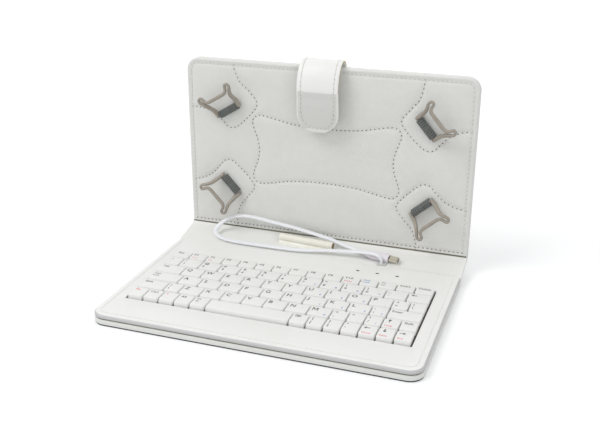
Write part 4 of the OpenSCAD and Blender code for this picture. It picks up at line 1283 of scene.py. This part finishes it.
def build_table(light):
    """A pale table that fades to white with the distance, as the camera sees it."""
    pale = bpy.data.materials.new("Pale table")
    pale.use_nodes = True
    tree = pale.node_tree
    shader = tree.nodes["Principled BSDF"]
    shader.inputs["Roughness"].default_value = 0.9
    shader.inputs["Specular IOR Level"].default_value = 0.1
    grain = node(tree, "TexNoise", {"Scale": 90.0, "Detail": 3.0})
    tone = node(tree, "MapRange", {"Value": grain, "To Min": 0.79, "To Max": 0.81})
    tree.links.new(tone.outputs[0], shader.inputs["Base Color"])
    path = node(tree, "LightPath", {})
    place = node(tree, "NewGeometry", {}).outputs["Position"]
    away = node(tree, "VectorMath", {0: place}, operation="LENGTH").outputs["Value"]
    fade = node(tree, "MapRange", {"Value": away, "From Min": 0.45, "From Max": 1.6,
                                   "To Min": light.floor, "To Max": 1.0})
    glow = node(tree, "Emission", {"Color": (1, 1, 1, 1), "Strength": fade})
    both = node(tree, "AddShader", {0: shader, 1: glow})
    pick = node(tree, "MixShader", {0: path.outputs["Is Camera Ray"], 1: shader, 2: both})
    tree.links.new(pick.outputs[0], tree.nodes["Material Output"].inputs["Surface"])
    mesh = bpy.data.meshes.new("table_top")
    mesh.from_pydata([(-4, -3, 0), (4, -3, 0), (4, 5, 0), (-4, 5, 0)], [], [(0, 1, 2, 3)])
    mesh.materials.append(pale)
    new_object("table_top", mesh)


# ---- The add-on: settings, one operator for each group of pieces, and a panel
def colour(name, about, value):
    return FloatVectorProperty(name=name, description=about, default=value, subtype="COLOR",
                               size=3, min=0.0, max=1.0)


def strength(name, about, value, **more):
    return FloatProperty(name=name, description=about, default=value, min=0.0, **more)


def length(name, about, value, low, high):
    return FloatProperty(name=name, description=about, default=value * MM, min=low * MM,
                         max=high * MM, subtype="DISTANCE", unit="LENGTH")


class CaseSizes(bpy.types.PropertyGroup):
    """Sizes of the case's sewing."""
    stitch: length("Stitch length", "From one needle hole to the next", 3.0, 1, 10)
    thread: length("Thread width", "Thread of the panel, the strap and the kickstand", 0.42, 0.1, 1)


class CaseColours(bpy.types.PropertyGroup):
    """Colours of the case's finishes."""
    leather: colour("Leather", "Pressed leather of the panel and the covers", (0.80, 0.80, 0.77))
    smooth_leather: colour("Smooth leather", "Leather of the keyboard's frame and the strap",
                           (0.86, 0.855, 0.835))
    lining: colour("Lining", "Leather of the spine", (0.83, 0.828, 0.80))
    keycap: colour("Keycaps", "Plastic of the keys", (0.85, 0.845, 0.825))
    hook: colour("Hooks", "Rubber of the corner hooks", (0.37, 0.335, 0.285))
    elastic: colour("Elastic", "Webbing of the hooks' loops", (0.075, 0.085, 0.08))
    cable: colour("Cable", "Sheath of the cable", (0.84, 0.85, 0.88))
    thread: colour("Thread", "Sewing thread", (0.83, 0.82, 0.79))
    needle_hole: colour("Needle holes", "Shade in the needle holes", (0.10, 0.095, 0.08))


class CaseLight(bpy.types.PropertyGroup):
    """Strength of the studio's lamps."""
    key: strength("Key lamp", "Large lamp at the upper left", 13.2, unit="POWER")
    fill: strength("Fill lamp", "Lamp at the right", 4.4, unit="POWER")
    rear: strength("Rear lamp", "Lamp behind the case", 4.4, unit="POWER")
    sky: strength("Surroundings", "Light from all round", 0.62)
    floor: strength("Table glow", "Brightness added to the table as it is seen", 0.25)


class CASE_OT_stage(bpy.types.Operator):
    """Sets up the camera, the lamps and the table"""
    bl_idname, bl_label = "case.stage", "Stage"

    def execute(self, context):
        light = context.scene.case_light
        context.scene.view_settings.view_transform = "Standard"
        build_camera()
        build_lamps(light)
        build_surroundings(light)
        build_table(light)
        return {"FINISHED"}


class CASE_OT_cable(bpy.types.Operator):
    """Makes the cable, its bush and its plug"""
    bl_idname, bl_label = "case.cable", "Cable"

    def execute(self, context):
        build_cable()
        return {"FINISHED"}


class CASE_OT_lower_leaf(bpy.types.Operator):
    """Makes the keyboard's frame, the lower cover and the status lamps"""
    bl_idname, bl_label = "case.lower_leaf", "Lower leaf"

    def execute(self, context):
        build_lower_leaf()
        return {"FINISHED"}


class CASE_OT_keys(bpy.types.Operator):
    """Makes the keycaps, each on the body that it moves with"""
    bl_idname, bl_label = "case.keys", "Keys"

    def execute(self, context):
        build_keys()
        return {"FINISHED"}


class CASE_OT_legends(bpy.types.Operator):
    """Prints the plain letters, digits and words on the keys"""
    bl_idname, bl_label = "case.legends", "Legends"

    def execute(self, context):
        build_legends()
        return {"FINISHED"}


class CASE_OT_spine(bpy.types.Operator):
    """Makes the spine's leather, its folds and the stylus loop"""
    bl_idname, bl_label = "case.spine", "Spine"

    def execute(self, context):
        build_folds()
        build_stylus_loop()
        return {"FINISHED"}


class CASE_OT_panel(bpy.types.Operator):
    """Makes the padded panel with its seams, and the back cover"""
    bl_idname, bl_label = "case.panel", "Padded panel"

    def execute(self, context):
        build_panel()
        return {"FINISHED"}


class CASE_OT_hooks(bpy.types.Operator):
    """Makes the four corner hooks and their elastic loops"""
    bl_idname, bl_label = "case.hooks", "Corner hooks"

    def execute(self, context):
        build_hooks()
        return {"FINISHED"}


class CASE_OT_strap(bpy.types.Operator):
    """Makes the closing strap"""
    bl_idname, bl_label = "case.strap", "Closing strap"

    def execute(self, context):
        build_strap()
        return {"FINISHED"}


class CASE_OT_kickstand(bpy.types.Operator):
    """Makes the kickstand and the hem that it hangs from"""
    bl_idname, bl_label = "case.kickstand", "Kickstand"

    def execute(self, context):
        build_kickstand()
        return {"FINISHED"}


class CASE_OT_inner(bpy.types.Operator):
    """Gives the pieces inside the leaves their finishes"""
    bl_idname, bl_label = "case.inner", "Inner pieces"

    def execute(self, context):
        finish_inner()
        return {"FINISHED"}


OPERATORS = (CASE_OT_stage, CASE_OT_cable, CASE_OT_lower_leaf, CASE_OT_keys, CASE_OT_legends,
             CASE_OT_spine, CASE_OT_panel, CASE_OT_hooks, CASE_OT_strap, CASE_OT_kickstand,
             CASE_OT_inner)


class CASE_PT_panel(bpy.types.Panel):
    """The case's settings and steps"""
    bl_idname, bl_label = "CASE_PT_panel", "Tablet keyboard case"
    bl_space_type, bl_region_type, bl_category = "VIEW_3D", "UI", "Case"

    def draw(self, context):
        scene = context.scene
        for settings in (scene.case_sizes, scene.case_colours, scene.case_light):
            box = self.layout.box()
            for name in settings.__annotations__:
                box.prop(settings, name)
        for step in OPERATORS:
            self.layout.operator(step.bl_idname)


CLASSES = (CaseSizes, CaseColours, CaseLight, *OPERATORS, CASE_PT_panel)


def register():
    for c in CLASSES:
        bpy.utils.register_class(c)
    bpy.types.Scene.case_sizes = PointerProperty(type=CaseSizes)
    bpy.types.Scene.case_colours = PointerProperty(type=CaseColours)
    bpy.types.Scene.case_light = PointerProperty(type=CaseLight)


def unregister():
    del bpy.types.Scene.case_light, bpy.types.Scene.case_colours, bpy.types.Scene.case_sizes
    for c in reversed(CLASSES):
        bpy.utils.unregister_class(c)


def main():
    register()
    for step in OPERATORS:
        group, name = step.bl_idname.split(".")
        getattr(getattr(bpy.ops, group), name)()


if __name__ == "__main__":
    main()
